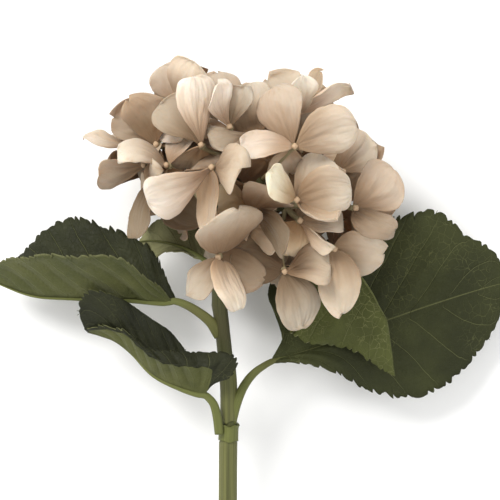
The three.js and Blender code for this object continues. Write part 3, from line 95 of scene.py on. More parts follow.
FLORETS = [
  ["floret_01",[21.3,49.87,98],[0.242,0.204,0.949],[5.9,34.42,80],1,[
    [[20.37,51.04,96.32],[10.89,78.6,94.82],[-0.441,-0.245,0.863],24.77,0.524,-0.048,0.225,0,0.049,0.071,1.04,0.695],
    [[23.22,50.65,99.46],[52.06,59.07,96.81],[-0.312,-0.43,0.847],26.82,0.177,0.169,0.432,0,0.108,0.122,0.784,0.531],
    [[20.09,50.13,99.48],[-4.35,48.86,97.42],[-0.391,0.692,0.607],23.9,-0.19,-0.372,0.248,0,-0.206,-0.069,0.845,0.482],
    [[20.79,48.77,95.32],[18.89,38.66,79.28],[0.126,-0.74,0.661],19.12,0.099,-0.247,-0.409,0,-0.048,-0.207,0.964,0.59]]],
  ["floret_02",[22.29,24.23,97],[0.309,-0.012,0.951],[17.3,21.74,74],1,[
    [[23.62,24.5,96.23],[49.52,28.69,97.21],[-0.053,-0.324,0.945],26.65,-0.212,0.462,0.447,0,0.157,0.055,0.576,0.459],
    [[21.59,25.06,98.32],[9.84,37.77,115.26],[0.754,0.081,0.651],18.38,-0.162,0.108,0.146,0,0.044,0.118,0.858,0.591],
    [[22.95,23.63,96.4],[41.99,13.71,112.78],[0.181,0.886,0.427],16.54,0.86,-0.808,-0.075,0.6,-0.108,-0.135,1.031,0.472],
    [[22.69,25.6,95.67],[33.77,47.7,88.22],[-0.245,-0.054,0.968],21.62,-0.017,-0.037,-0.057,0,-0.118,-0.248,0.887,0.758]]],
  ["floret_03",[-17.96,39.8,95],[-0.439,0.243,0.865],[-13.79,29.55,78],1,[
    [[-19.76,39.3,95.97],[-50,23.63,99.84],[0.373,-0.564,0.736],26.67,-0.439,0.114,0.384,0,0.17,-0.011,1.34,0.79],
    [[-18.78,38.57,96.04],[-21.79,8.9,91.22],[-0.854,0.011,0.52],22.42,0.41,-0.132,0.203,0.25,-0.06,0.088,0.45,0.728],
    [[-16.69,39.46,95.32],[-4.94,39.21,121.74],[-0.957,0.116,0.267],24.32,-0.094,0.103,-0.133,0,-0.023,0.028,0.978,0.711],
    [[-18.18,40.01,93.19],[-23.17,43.85,72.9],[-0.121,0.752,0.649],22.35,-0.138,-0.469,-0.227,0,0.139,-0.025,0.939,0.475]]],
  ["floret_04",[-15.18,-2.94,85],[-0.219,-0.382,0.898],[-22.39,21.89,66],1,[
    [[-14.3,-1.21,84.58],[-5.12,18.2,104.32],[0.542,-0.469,0.698],35.37,0.236,-0.001,-0.094,0,0.028,-0.034,0.63,0.66],
    [[-16.12,-4.25,85.39],[-29.66,-22.83,89.73],[-0.515,0.376,0.77],23.83,-0.533,-0.561,0.443,0,0.012,-0.063,0.902,0.443],
    [[-14.19,-3.74,83.96],[-3.77,-28.41,92.07],[0.725,0.287,0.627],22.23,-0.22,0.04,0.003,0,0.019,-0.229,0.561,0.733],
    [[-13.94,-3.92,85.27],[7.22,-14.55,79.3],[0.035,0.292,0.956],20.94,0.904,0.181,0.274,0,-0.087,-0.028,0.45,0.678]]],
  ["floret_05",[-23.54,51,83],[-0.287,0.349,0.892],[-8.96,45.77,66],1,[
    [[-24.02,53,84.38],[-26.28,85.25,89.33],[0.397,-0.111,0.911],22.28,-0.585,0.053,0.368,0,0.158,0.004,1.258,0.582],
    [[-25.09,52.61,84.44],[-44.54,71.41,86.26],[-0.075,-0.086,0.993],23.01,-0.283,0.322,0.218,0,-0.095,-0.095,1.382,0.883],
    [[-24.61,50.66,83.26],[-31.54,39.1,67.57],[0.371,0.327,0.869],21.85,0.482,-0.076,-0.056,0,0.125,0.065,0.963,0.422],
    [[-22.73,51.39,81.32],[-12.29,59.33,61.45],[0.117,0.076,0.99],19.54,0.089,0.03,0.157,0,0.017,0.174,0.926,0.31]]],
  ["floret_06",[-9.82,59.88,82],[-0.118,0.441,0.89],[-8.96,45.77,66],1,[
    [[-10.24,61.76,82.44],[-15.88,88,77.58],[0.239,0.315,0.918],24.41,-0.426,-0.08,-0.063,0,-0.037,0.203,1.209,0.838],
    [[-10.05,60.85,82.37],[-14.76,79.9,97.18],[0.369,0.279,0.886],17.92,0.592,0.834,0.012,0,0.207,0.002,1.417,0.331],
    [[-9.35,61.26,82.64],[-3.28,79.55,91.34],[-0.461,-0.23,0.857],18.75,0.27,0.744,-0.194,0,0.107,0.027,1.354,0.645],
    [[-11.21,59.52,80.65],[-32.2,60.18,73.34],[0.155,0.661,0.734],17.84,-0.342,0.221,-0.032,0,0,0,0.95,0.5]]],
  ["floret_07",[24.05,14.72,82],[0.372,-0.193,0.908],[17.3,21.74,74],1,[
    [[26.21,14.14,83.66],[46.3,10.79,84.9],[-0.027,0.69,0.723],20.82,-0.374,0.645,-0.439,0,0.047,0.174,0.8,0.673],
    [[25.09,13.74,82.21],[40.06,0.12,88.26],[-0.537,-0.699,0.472],13.13,0.192,0.207,-0.093,0.5,0.021,-0.131,1.107,0.576],
    [[23.11,13.64,79.83],[19.56,-3.58,72.57],[0.033,-0.273,0.962],21.33,-0.08,-0.01,-0.101,0,-0.054,-0.165,0.582,0.846],
    [[22.87,14.93,79.06],[15.23,13.18,59.45],[0.385,0.142,0.912],19.9,0.086,-0.206,-0.048,0,-0.284,-0.135,1.652,0.523]]],
  ["floret_08",[-40.32,41.3,80],[-0.576,0.242,0.781],[-22.39,21.89,66],1,[
    [[-41.95,41.88,80.72],[-64.9,49.82,87.94],[0.096,0.767,0.634],23.65,-0.927,-0.071,0.295,0,-0.28,0.076,0.881,0.455],
    [[-39.35,42.5,79.22],[-29.47,58.3,72.38],[-0.47,0.68,0.563],18.88,-0.329,0.442,0.005,0,0.059,0.112,1.088,0.545],
    [[-40.95,40.47,80.25],[-36.83,26.5,67.85],[0.169,-0.039,0.985],20.41,-0.612,0.169,-0.042,0,0.125,0.139,1.109,0.387],
    [[-41.58,40.37,79.77],[-51.18,27.39,70.05],[-0.736,-0.031,0.677],18.99,-0.058,0.019,0.264,0,0.274,0.303,1.156,1.019]]],
  ["floret_09",[40.81,0.98,80],[0.513,-0.305,0.802],[17.3,21.74,74],1,[
    [[40.22,-0.1,78.51],[45.57,-31.2,75.75],[-0.142,-0.412,0.9],22.04,-0.622,-0.485,-0.014,0,0.1,0.007,0.45,0.775],
    [[41.56,1.24,78.89],[64.81,-2.57,82.65],[0.033,-0.462,0.886],26.54,0.754,0.406,0.435,0,-0.121,-0.047,0.681,0.668],
    [[39.81,1.31,79.09],[26.81,5.91,66.28],[0.135,-0.435,0.89],20.18,-0.26,0.405,-0.283,0,0.08,0.011,1.059,0.525],
    [[41,1.92,78.09],[48.83,10.92,61.74],[0.143,0.39,0.91],19.25,-0.107,-0.054,0.136,0,-0.247,-0.127,1.315,0.334]]],
  ["floret_10",[51.13,20.65,80],[0.556,-0.064,0.828],[17.3,21.74,74],1,[
    [[51.67,21.8,78.79],[71.05,39.66,74.47],[-0.35,-0.392,0.851],27.4,0.094,-0.457,-0.315,0,-0.15,-0.004,1.015,0.808],
    [[51.63,20.08,79.16],[71.36,10.78,86.83],[0.327,0.642,0.693],21.2,0.01,-0.093,0.06,0,-0.122,-0.14,0.5,0.837],
    [[51.38,20.22,79.14],[48.48,15.88,60.58],[-0.703,-0.189,0.685],18.97,-0.037,-0.116,-0.001,0,0.023,0.076,1.074,0.701],
    [[50.97,19.52,77.96],[63.04,0.52,68.26],[0.195,-0.071,0.978],14.45,-0.011,0.071,-0.045,0,0.026,0.026,0.742,0.47]]],
  ["floret_11",[3.45,56.14,78],[0.04,0.631,0.774],[-8.96,45.77,66],1,[
    [[2.01,57.12,79.8],[-20.31,55.53,86.9],[0.327,0.686,0.65],19.5,-0.402,0.104,0.186,0,0.314,0.106,1.292,0.328],
    [[3.34,58.64,78.67],[0.21,83.67,67.53],[-0.234,0.015,0.972],24.24,0.13,-0.053,-0.054,0,-0.04,0.131,0.45,0.511],
    [[2.79,56.83,76.62],[-6.04,68.07,60.32],[-0.432,-0.007,0.902],21.58,0.063,0.086,0.048,0,-0.003,-0.023,0.903,0.455],
    [[4.33,55.11,78.2],[15.05,38.25,75.87],[-0.158,0.373,0.914],18.87,-0.305,-0.341,0.207,0,0,0,0.95,0.5]]],
  ["floret_12",[1.97,20.19,78],[0.229,-0.284,0.931],[5.9,34.42,80],1,[
    [[0.4,20.57,77.89],[-16.69,21.23,90.42],[0.765,0.228,0.602],25.54,0.24,-0.209,-0.252,0,-0.182,0.058,0.754,0.83],
    [[2.65,20.64,80.07],[9.19,29.57,97.38],[0.102,-0.624,0.774],27.36,0.443,0.337,-0.416,0,-0.011,-0.148,0.702,0.444],
    [[2.96,18.75,79.34],[17.29,-2.83,89.84],[-0.707,-0.307,0.637],18.35,-0.005,-0.308,0.263,0,0.289,0.239,0.745,0.323],
    [[1.02,18.94,78.19],[-12.68,6.44,71.63],[0.091,0.055,0.994],17.96,-0.424,-0.174,-0.159,0,0,0,0.95,0.5]]],
  ["floret_13",[16.77,-9.87,76],[0.252,-0.517,0.818],[17.3,21.74,74],1,[
    [[15.49,-9.93,76.9],[-9.89,-2.06,77.67],[-0.086,0.299,0.95],24.07,0.257,-0.337,-0.085,0,-0.044,-0.058,0.563,1.027],
    [[17.19,-11.38,75.74],[24.9,-38.89,71.57],[0.247,-0.138,0.959],24.06,-0.298,-0.256,-0.366,0,0.245,-0.005,0.815,0.743],
    [[18.72,-10.59,77.7],[39.68,-8.28,81.79],[0.181,0.44,0.879],25.08,-0.333,0.726,0.046,0,0.301,-0.091,0.963,0.317],
    [[16.5,-10.67,74.88],[11.61,-18.33,56.04],[-0.31,-0.43,0.848],19.69,0.046,0.321,0.056,0,-0.021,-0.08,1.049,0.554]]],
  ["floret_14",[-1.98,12.85,74],[-0.051,-0.397,0.917],[17.3,21.74,74],1,[
    [[-0.71,12.38,73.71],[14.07,1.63,81.74],[-0.296,-0.249,0.922],20.63,-0.247,-0.175,0.073,0,0.158,0.227,0.765,0.478],
    [[-0.94,14.05,74.09],[11.48,28.5,74.92],[-0.764,0.244,0.597],17.33,0.12,-0.495,0.14,0,0,0,0.95,0.5],
    [[-3.19,13.04,71.99],[-22.04,8.47,59.55],[-0.388,-0.325,0.862],19.44,-0.302,-0.028,-0.093,0,0,0,0.95,0.5],
    [[-2.42,11.13,74.2],[-8.66,-8.63,56.82],[0.02,-0.31,0.951],19.1,-0.261,0.182,-0.161,0,0,0,0.95,0.5]]],
  ["floret_15",[-45.62,52.06,70],[-0.631,0.229,0.741],[-22.15,36.24,52],1,[
    [[-46.87,53.44,71.2],[-59.24,72.63,81.37],[-0.173,-0.486,0.857],25.16,1,0.56,0.44,0,-0.158,-0.117,0.843,0.696],
    [[-47.86,53.25,70.69],[-67.55,66.33,62.75],[-0.772,0.214,0.599],23.95,-0.224,-0.201,-0.053,0,-0.188,-0.155,1.115,0.769],
    [[-45.27,50.32,69.66],[-46.46,31.96,71.83],[-0.741,-0.098,0.664],16.82,-0.314,0.347,-0.185,0,0,0,0.95,0.5],
    [[-43.06,52.08,68.98],[-24.06,57.37,72.3],[-0.762,0.385,0.521],18.64,0.044,-0.077,-0.173,0,0,0,0.95,0.5]]],
  ["floret_16",[-36.69,74.38,70],[-0.474,0.507,0.72],[-8.96,45.77,66],1,[
    [[-36.54,74.96,68.35],[-44.22,91.57,63.8],[-0.402,0.084,0.912],24.34,0.725,0.395,0.389,0,-0.106,-0.079,0.918,0.952],
    [[-35.9,75.55,70.51],[-26.83,92.67,79.44],[-0.146,0.143,0.979],23.84,-0.492,-0.234,-0.024,0,-0.09,0.064,0.917,0.763],
    [[-37.65,73.65,71.54],[-39.43,52.99,75.43],[-0.573,0.435,0.695],19.28,-0.088,0.071,0.131,0,0,0,0.95,0.5],
    [[-37.88,73.74,69.47],[-51.06,60.05,55.54],[-0.478,0.769,0.424],18.27,-0.287,0.179,-0.069,0,0,0,0.95,0.5]]],
  ["floret_17",[-49.09,34.71,70],[-0.72,-0.006,0.694],[-22.15,36.24,52],1,[
    [[-48.41,33.17,68.82],[-55.71,5.78,66.54],[-0.733,0.146,0.664],16.62,-0.351,-0.565,-0.069,0,-0.065,-0.188,0.588,0.821],
    [[-47.42,33.75,69.04],[-23.7,14.02,59.4],[-0.034,0.189,0.981],22.49,0.049,-0.163,0.408,0,-0.203,0.099,0.7,0.676],
    [[-49.88,34.76,72.67],[-44.29,35.56,90.63],[-0.687,-0.171,0.706],18.31,-0.287,-0.096,0.316,0,0,0,0.95,0.5],
    [[-48.76,34.29,67.88],[-53.01,29.08,50.09],[-0.672,0.088,0.736],18.18,-0.448,-0.147,0.032,0,0,0,0.95,0.5]]],
  ["floret_18",[23.3,67.43,70],[0.469,0.447,0.762],[17.5,41,60],1,[
    [[22.81,68.04,69.65],[26.84,85.37,81.77],[0.48,-0.308,0.822],23.4,-0.747,0.688,0.297,0,0.184,0.145,0.745,1.099],
    [[22.51,68.81,69.92],[8.76,84.5,63.92],[-0.022,0.285,0.958],24.27,-0.552,-0.507,0.137,0,0.028,-0.259,1.182,0.832],
    [[24.71,69.52,70.72],[33.84,89.42,62.01],[0.535,-0.458,0.71],13.88,-0.006,-0.133,-0.041,0,-0.083,0.15,0.967,0.623],
    [[24.19,67.77,69.16],[49.6,82.88,69.46],[0.388,-0.781,0.489],17.07,0.28,-0.145,0.158,0,0.16,-0.165,0.871,0.655]]],
  ["floret_19",[-1.98,31.73,70],[0.047,0.034,0.998],[-8.96,45.77,66],1,[
    [[-1.26,32.63,70.01],[7.5,43.21,82.92],[0.248,-0.325,0.913],26.28,-0.097,0.451,0.008,0,0.139,0.016,0.825,0.504],
    [[-3.41,31.94,71.08],[-27.47,34.27,61.16],[-0.064,-0.612,0.789],18.82,-0.126,0.195,0.285,0,0,0,0.95,0.5],
    [[-0.99,30.78,69.36],[11.36,18.71,58.98],[0.158,-0.354,0.922],17.93,-0.055,-0.346,-0.371,0,0,0,0.95,0.5],
    [[-3.24,31.27,70.81],[-21.48,24.1,59.34],[0.118,-0.34,0.933],17.75,-0.258,0.143,-0.103,0,0,0,0.95,0.5]]],
  ["floret_20",[45.2,38.74,68],[0.734,0.125,0.668],[17.5,41,60],1,[
    [[44.55,40.05,66.77],[52.83,61.33,65.34],[0.248,0.012,0.969],21.99,-0.206,0.083,-0.253,0,0.163,0.275,1.2,0.49],
    [[45.31,39.49,66.39],[62.2,53.01,57.05],[0.63,0.229,0.742],22.33,-0.12,-0.259,0.383,0,-0.047,0.103,1.088,0.548],
    [[43.59,38.84,68.44],[39.85,42.49,86.55],[-0.315,0.017,0.949],13.92,-0.267,-0.007,-0.072,0,0.029,0.079,0.955,0.653],
    [[45.72,37.41,68.47],[38.21,14.25,61.47],[0.61,-0.172,0.773],18.71,-0.178,-0.018,-0.161,0,0,0,0.95,0.5]]],
  ["floret_21",[-51.83,42.36,64],[-0.834,0.078,0.546],[-22.15,36.24,52],1,[
    [[-53.32,42.1,64.39],[-75.5,38.47,70.36],[-0.22,-0.693,0.687],26.57,0.041,-0.292,-0.345,0,0.062,0.248,1.251,0.39],
    [[-50.63,41.4,61.8],[-52.88,30.02,43.88],[-0.774,-0.263,0.576],20.29,0.557,0.522,-0.146,0,-0.126,0.054,0.73,0.631],
    [[-50.98,42.1,64.61],[-32.3,38.3,65.79],[-0.881,0.442,0.166],19.01,-0.109,-0.275,-0.227,0,0,0,0.95,0.5],
    [[-51.27,43.74,63.28],[-44.96,63.51,54.19],[-0.6,0.453,0.66],18.8,-0.237,0.613,-0.318,0,0,0,0.95,0.5]]],
  ["floret_22",[-61.5,52.5,60],[-0.638,0.644,0.422],[-22.15,36.24,52],1,[
    [[-62.26,52.04,59.46],[-83.16,57.41,59.91],[0.2,0.922,0.333],18.16,-0.112,0.209,-0.273,0,0.055,-0.011,0.7,0.57],
    [[-59.59,51.24,60.54],[-47.06,46.6,74.04],[-0.552,0.828,0.099],18.25,-0.536,0.457,0.153,0,0,0,0.95,0.5],
    [[-61.39,53.95,59.22],[-52.41,64.19,44.66],[-0.78,0.403,0.479],18.98,-0.362,0.085,-0.089,0,0,0,0.95,0.5],
    [[-62.73,53.67,59.03],[-68.89,58.74,34.36],[-0.243,0.916,0.319],18.97,-0.558,0.301,0.074,0,0,0,0.95,0.5]]],
  ["floret_23",[-36.06,25.04,58],[-0.24,-0.144,0.96],[-22.15,36.24,52],0,[
    [[-37.16,24.67,56.24],[-55.42,17.28,51.96],[0.066,-0.977,0.202],20.14,-0.202,0.055,-0.192,0,0,0,0.95,0.5],
    [[-35.84,23.8,57.11],[-32.77,9.14,44.94],[-0.717,0.27,0.642],19.58,-0.458,-0.169,0.018,0,0,0,0.95,0.5],
    [[-34.2,24.81,56.66],[-14.99,19.31,57.06],[-0.268,0.235,0.934],20.51,-0.071,-0.335,-0.261,0,0,0,0.95,0.5],
    [[-36.6,26.49,55.98],[-48.88,41.9,51.3],[-0.425,-0.827,0.367],20.43,-0.251,0.153,-0.287,0,0,0,0.95,0.5]]],
  ["floret_24",[-9.02,43.57,58],[0,0.1,0.995],[-22.15,36.24,52],0,[
    [[-10.36,42.81,59.01],[-29.29,30.64,58.42],[0.101,-0.012,0.995],21.59,-0.239,0.197,-0.164,0,0,0,0.95,0.5],
    [[-7.85,42.33,56.23],[10.47,25.49,55],[-0.029,0.201,0.979],21.25,0.035,-0.075,0.08,0,0,0,0.95,0.5],
    [[-7.68,44.44,57.8],[9.3,55.6,57.24],[-0.437,0.368,0.821],20.38,-0.007,-0.162,-0.078,0,0,0,0.95,0.5],
    [[-10.08,44.83,58.63],[-23.2,59.44,57.62],[-0.075,-0.238,0.968],20.4,-0.502,-0.276,0.175,0,0,0,0.95,0.5]]],
  ["floret_25",[13.02,17.03,58],[0.098,-0.148,0.984],[10.13,25.33,44],0,[
    [[11.79,18.27,57.11],[-2.41,32.05,57.3],[0.163,-0.199,0.966],20.5,0.051,0.093,0.348,0,0,0,0.95,0.5],
    [[12.92,15.27,59.08],[9.47,-8.69,56.47],[0.417,-0.181,0.891],20.34,-0.204,0.035,0.01,0,0,0,0.95,0.5],
    [[14.46,16.69,57.13],[34.67,11.12,51.47],[-0.111,-0.144,0.983],21.03,-0.174,0.62,0.031,0,0,0,0.95,0.5],
    [[13.26,18.67,57.26],[16.99,38.56,54.95],[-0.112,-0.376,0.92],19.52,-0.223,0.046,0.122,0,0,0,0.95,0.5]]],
  ["floret_26",[25.04,50.08,58],[0.192,0.192,0.962],[17.5,41,60],0,[
    [[24.44,49.18,60.03],[8.98,28.64,69.1],[0.335,0.156,0.929],21.39,-0.403,0.482,0.327,0,0,0,0.95,0.5],
    [[26.49,49.49,57.58],[51.21,40.34,54.47],[0.322,-0.239,0.916],21.27,-0.189,0.298,-0.134,0,0,0,0.95,0.5],
    [[25.74,51.6,58.05],[34.56,72.41,52.17],[0.031,0.385,0.922],20.72,-0.157,0.125,0.028,0,0,0,0.95,0.5],
    [[23.5,50.78,56.66],[5.51,64.66,57.63],[0.207,0.175,0.962],21.27,-0.41,0.51,0.002,0,0,0,0.95,0.5]]],
  ["floret_27",[37.62,25.08,56],[0.33,0,0.944],[10.13,25.33,44],0,[
    [[36.34,24.45,56.32],[24.57,17.15,69.2],[0.368,0.066,0.927],21.47,-0.235,0.409,0.145,0,0,0,0.95,0.5],
    [[37.89,23.7,54.5],[56.74,-8.18,56.15],[0.178,0.262,0.949],20.34,-0.225,0.158,-0.172,0,0,0,0.95,0.5],
    [[38.48,25.97,54.44],[57.03,38.55,50.9],[0.154,0.146,0.977],20.95,-0.078,0.229,-0.216,0,0,0,0.95,0.5],
    [[37.22,26.37,57.67],[24.9,42.57,58.19],[0.172,-0.242,0.955],19.84,-0.017,0.208,-0.052,0,0,0,0.95,0.5]]],
  ["floret_28",[-42.35,58.48,50],[-0.389,0.291,0.874],[-22.15,36.24,52],0,[
    [[-43.92,58.29,49.71],[-59.92,53.87,40.15],[-0.524,0.342,0.78],20.09,0.199,0.099,-0.202,0,0,0,0.95,0.5],
    [[-41.22,56.5,48.63],[-34.84,36.13,50.38],[-0.362,0.156,0.919],21.14,0.362,0.084,-0.327,0,0,0,0.95,0.5],
    [[-41.05,59.15,50.63],[-21.78,69.31,60.59],[-0.368,0.407,0.836],20.41,-0.453,0.031,-0.055,0,0,0,0.95,0.5],
    [[-41.55,59.6,48.48],[-38.44,92.76,47.45],[-0.069,0.06,0.996],18.75,-0.492,0.294,-0.305,0,0,0,0.95,0.5]]],
  ["floret_29",[-2.55,78.41,38],[0,0.914,-0.406],[-8.96,45.77,66],0,[
    [[-2.09,77.13,36.9],[4.55,70.7,15.21],[-0.18,0.837,-0.517],20.25,-0.21,0.279,-0.007,0,0,0,0.95,0.5],
    [[-4.08,78.89,37.43],[-27.62,81.31,30.96],[-0.149,0.603,-0.783],21.36,-0.192,0.008,0.125,0,0,0,0.95,0.5],
    [[-2.98,79.24,39.31],[-9.56,85.82,61.9],[0.346,0.919,0.191],20.59,-0.246,0.099,-0.278,0,0,0,0.95,0.5],
    [[-1.11,77.6,39.13],[21.69,84.16,48.35],[-0.532,0.763,-0.368],20.95,-0.117,0.355,0.041,0,0,0,0.95,0.5]]],
  ["floret_30",[34.68,65.28,36],[0.625,0.625,-0.469],[17.5,41,60],0,[
    [[36.63,65.5,36.33],[55.08,59.22,48.05],[0.654,0.619,-0.435],22.14,-0.326,-0.066,-0.144,0,0,0,0.95,0.5],
    [[34.36,64.25,34.79],[31.48,49.25,11.98],[0.298,0.897,-0.325],20.06,-0.35,-0.184,-0.068,0,0,0,0.95,0.5],
    [[33.76,66.44,35.54],[20.23,88.08,26.18],[0.512,0.569,-0.643],21.29,-0.347,-0.054,-0.055,0,0,0,0.95,0.5],
    [[34.65,66.41,37.15],[33.18,82.99,55.73],[0.733,0.541,-0.414],20.85,-0.283,-0.142,0.159,0,0,0,0.95,0.5]]],
  ["floret_31",[34.68,6.12,36],[0.704,-0.503,-0.503],[10.13,25.33,44],0,[
    [[35.07,5.2,37.25],[43.26,-14.23,63.44],[0.052,-0.802,-0.595],21.57,-0.01,0.357,-0.111,0,0,0,0.95,0.5],
    [[34.11,4.7,36.38],[23.44,-31.42,43.25],[0.122,-0.906,-0.405],21.87,-0.809,-0.214,-0.197,0,0,0,0.95,0.5],
    [[33.56,7.21,35.08],[28.13,15.75,11.59],[0.644,-0.593,-0.484],21.17,-0.337,0.213,0.131,0,0,0,0.95,0.5],
    [[35.29,7.65,36.28],[49.65,27.81,37.06],[0.742,-0.608,-0.282],20.47,-0.35,-0.002,-0.253,0,0,0,0.95,0.5]]],
  ["floret_32",[-53.04,38.25,36],[-0.938,0,-0.346],[-22.15,36.24,52],0,[
    [[-53.09,37.71,34.43],[-50.32,29,10.29],[-0.94,0.055,-0.336],20.68,-0.317,0.346,-0.136,0,0,0,0.95,0.5],
    [[-52.34,36.66,36.45],[-56.18,9.02,38.31],[-0.802,0.576,-0.161],21.63,-0.348,0.042,0.188,0,0,0,0.95,0.5],
    [[-53.77,38.49,37.31],[-72.55,42.84,58.75],[-0.749,0.543,-0.38],19.75,-0.207,0.016,0.235,0,0,0,0.95,0.5],
    [[-54.06,39.75,35.17],[-56.02,62.84,27.52],[-0.895,0.003,-0.446],21.31,-0.409,0.305,0.24,0,0,0,0.95,0.5]]],
  ["floret_33",[-39.84,67.43,34],[-0.625,0.625,-0.469],[-22.15,36.24,52],0,[
    [[-38.25,66.42,33.23],[-26.85,64.09,11.45],[-0.612,0.42,-0.67],20.54,-0.331,-0.117,0.285,0,0,0,0.95,0.5],
    [[-40.92,66.4,33.34],[-52.71,47.38,26.59],[-0.826,0.536,-0.175],20.32,-0.72,0.052,-0.417,0,0,0,0.95,0.5],
    [[-42.06,68.25,34.27],[-67.41,63.35,57.15],[-0.45,0.82,-0.355],20.45,-0.692,0.152,0.238,0,0,0,0.95,0.5],
    [[-38.85,68.53,34.53],[-26.86,94.1,39.73],[-0.757,0.575,-0.311],20.91,0.155,-0.097,0.112,0,0,0,0.95,0.5]]],
  ["floret_34",[50.06,34.74,34],[0.909,0.101,-0.404],[10.13,25.33,44],0,[
    [[50.81,33.97,35.05],[73.36,19.62,52.47],[0.713,-0.152,-0.685],21.88,0.388,0.262,-0.108,0,0,0,0.95,0.5],
    [[49.09,33.82,32.99],[47.08,22.52,14.16],[0.877,0.283,-0.389],21.39,-0.096,0.092,-0.115,0,0,0,0.95,0.5],
    [[50.38,36.17,32.92],[42.21,53.09,24.61],[0.9,0.115,-0.419],20.6,-0.256,0.131,-0.094,0,0,0,0.95,0.5],
    [[51.56,35.89,34.59],[63.17,53.23,49.82],[0.983,0.111,-0.147],21.08,-0.421,-0.409,0.114,0,0,0,0.95,0.5]]],
  ["floret_35",[6.13,-6.13,34],[0.104,-0.777,-0.621],[10.13,25.33,44],0,[
    [[6.6,-6.05,35.83],[14.86,-12.46,57.87],[-0.124,-0.832,-0.54],20.81,-0.102,-0.153,0.119,0,0,0,0.95,0.5],
    [[4.8,-7.94,33.11],[-21.23,-16.53,35.97],[0.103,-0.657,-0.747],21.71,-0.937,-0.185,0.069,0,0,0,0.95,0.5],
    [[5.61,-5.72,32.43],[-3.4,6.91,12.43],[0.048,-0.833,-0.551],20.59,-0.262,-0.025,0.014,0,0,0,0.95,0.5],
    [[7.53,-4.96,34.24],[28.13,1.98,30.14],[0.22,-0.602,-0.767],21.16,-0.308,-0.175,0.049,0,0,0,0.95,0.5]]],
  ["floret_36",[-30.8,12.32,28],[-0.609,-0.609,-0.508],[-12.71,25.42,40],0,[
    [[-29.76,11.13,27.93],[-16.55,-6.05,26.16],[-0.707,-0.529,0.469],19.42,-0.176,0.084,0.053,0,0,0,0.95,0.5],
    [[-29.74,13.61,30.38],[-29.69,16.64,49.43],[-0.491,-0.806,-0.331],20.36,-0.007,0.004,-0.254,0,0,0,0.95,0.5],
    [[-32.07,13.3,27.79],[-51.61,30.71,25.46],[-0.703,-0.699,0.133],21.2,-0.35,0.029,-0.108,0,0,0,0.95,0.5],
    [[-31.46,11.69,25.66],[-25.63,17.93,2.9],[-0.568,-0.536,-0.625],21.36,-0.528,0.314,-0.135,0,0,0,0.95,0.5]]],
  ["floret_37",[-7.23,17.57,20],[-0.094,-0.329,-0.94],[-12.71,25.42,40],0,[
    [[-5.92,16.47,19.08],[15.7,5.46,21.25],[-0.232,-0.429,-0.873],21.29,-0.534,-0.031,-0.156,0,0,0,0.95,0.5],
    [[-8.06,16.15,20.15],[-17.7,0.6,27.02],[-0.06,-0.34,-0.939],20.94,-0.385,0.046,-0.199,0,0,0,0.95,0.5],
    [[-8.61,17.99,19.02],[-33.92,27.98,6.44],[-0.686,-0.437,-0.581],21.92,-0.408,0.024,-0.014,0,0,0,0.95,0.5],
    [[-6.49,18.2,18.22],[6.15,32.13,2.68],[-0.521,0.238,-0.82],20.69,0.297,0.076,0.066,0,0,0,0.95,0.5]]],
  ["floret_38",[-19.65,51.71,19],[-0.233,0.279,-0.931],[-12.71,25.42,40],0,[
    [[-18.82,50.81,17.89],[-5.27,36.07,3.59],[0.114,0.582,-0.805],21.63,-1,0.451,-0.222,0,0,0,0.95,0.5],
    [[-21.16,51.05,17.64],[-39.56,35.38,15.55],[-0.541,0.174,-0.823],20.85,-0.238,0.061,0.007,0,0,0,0.95,0.5],
    [[-19.75,52.75,20.83],[-27.84,77.52,24.83],[-0.63,0.197,-0.751],20.79,0.004,0.033,0.223,0,0,0,0.95,0.5],
    [[-18.52,52.65,18.3],[2.57,69.36,7.04],[-0.296,0.857,-0.422],20.74,-0.153,0.258,0.401,0,0,0,0.95,0.5]]],
  ["floret_39",[18.1,42.4,19],[0.329,0.094,-0.94],[10.13,25.33,44],0,[
    [[19.19,41.22,16.81],[28.07,19.02,6.84],[0.79,-0.104,-0.604],21.63,-0.378,-0.078,0.095,0,0,0,0.95,0.5],
    [[16.78,42.07,18.25],[-1.69,37.49,4.05],[-0.149,0.706,-0.692],20.74,0.151,0.36,0.102,0,0,0,0.95,0.5],
    [[17.11,43.78,20.38],[10.68,67.01,17.08],[0.634,0.245,-0.733],20.58,-0.18,0.238,-0.161,0,0,0,0.95,0.5],
    [[19.98,42.89,18.34],[42.46,48.51,26.32],[0.513,0.286,-0.81],20.89,-0.332,-0.021,-0.153,0,0,0,0.95,0.5]]]
]


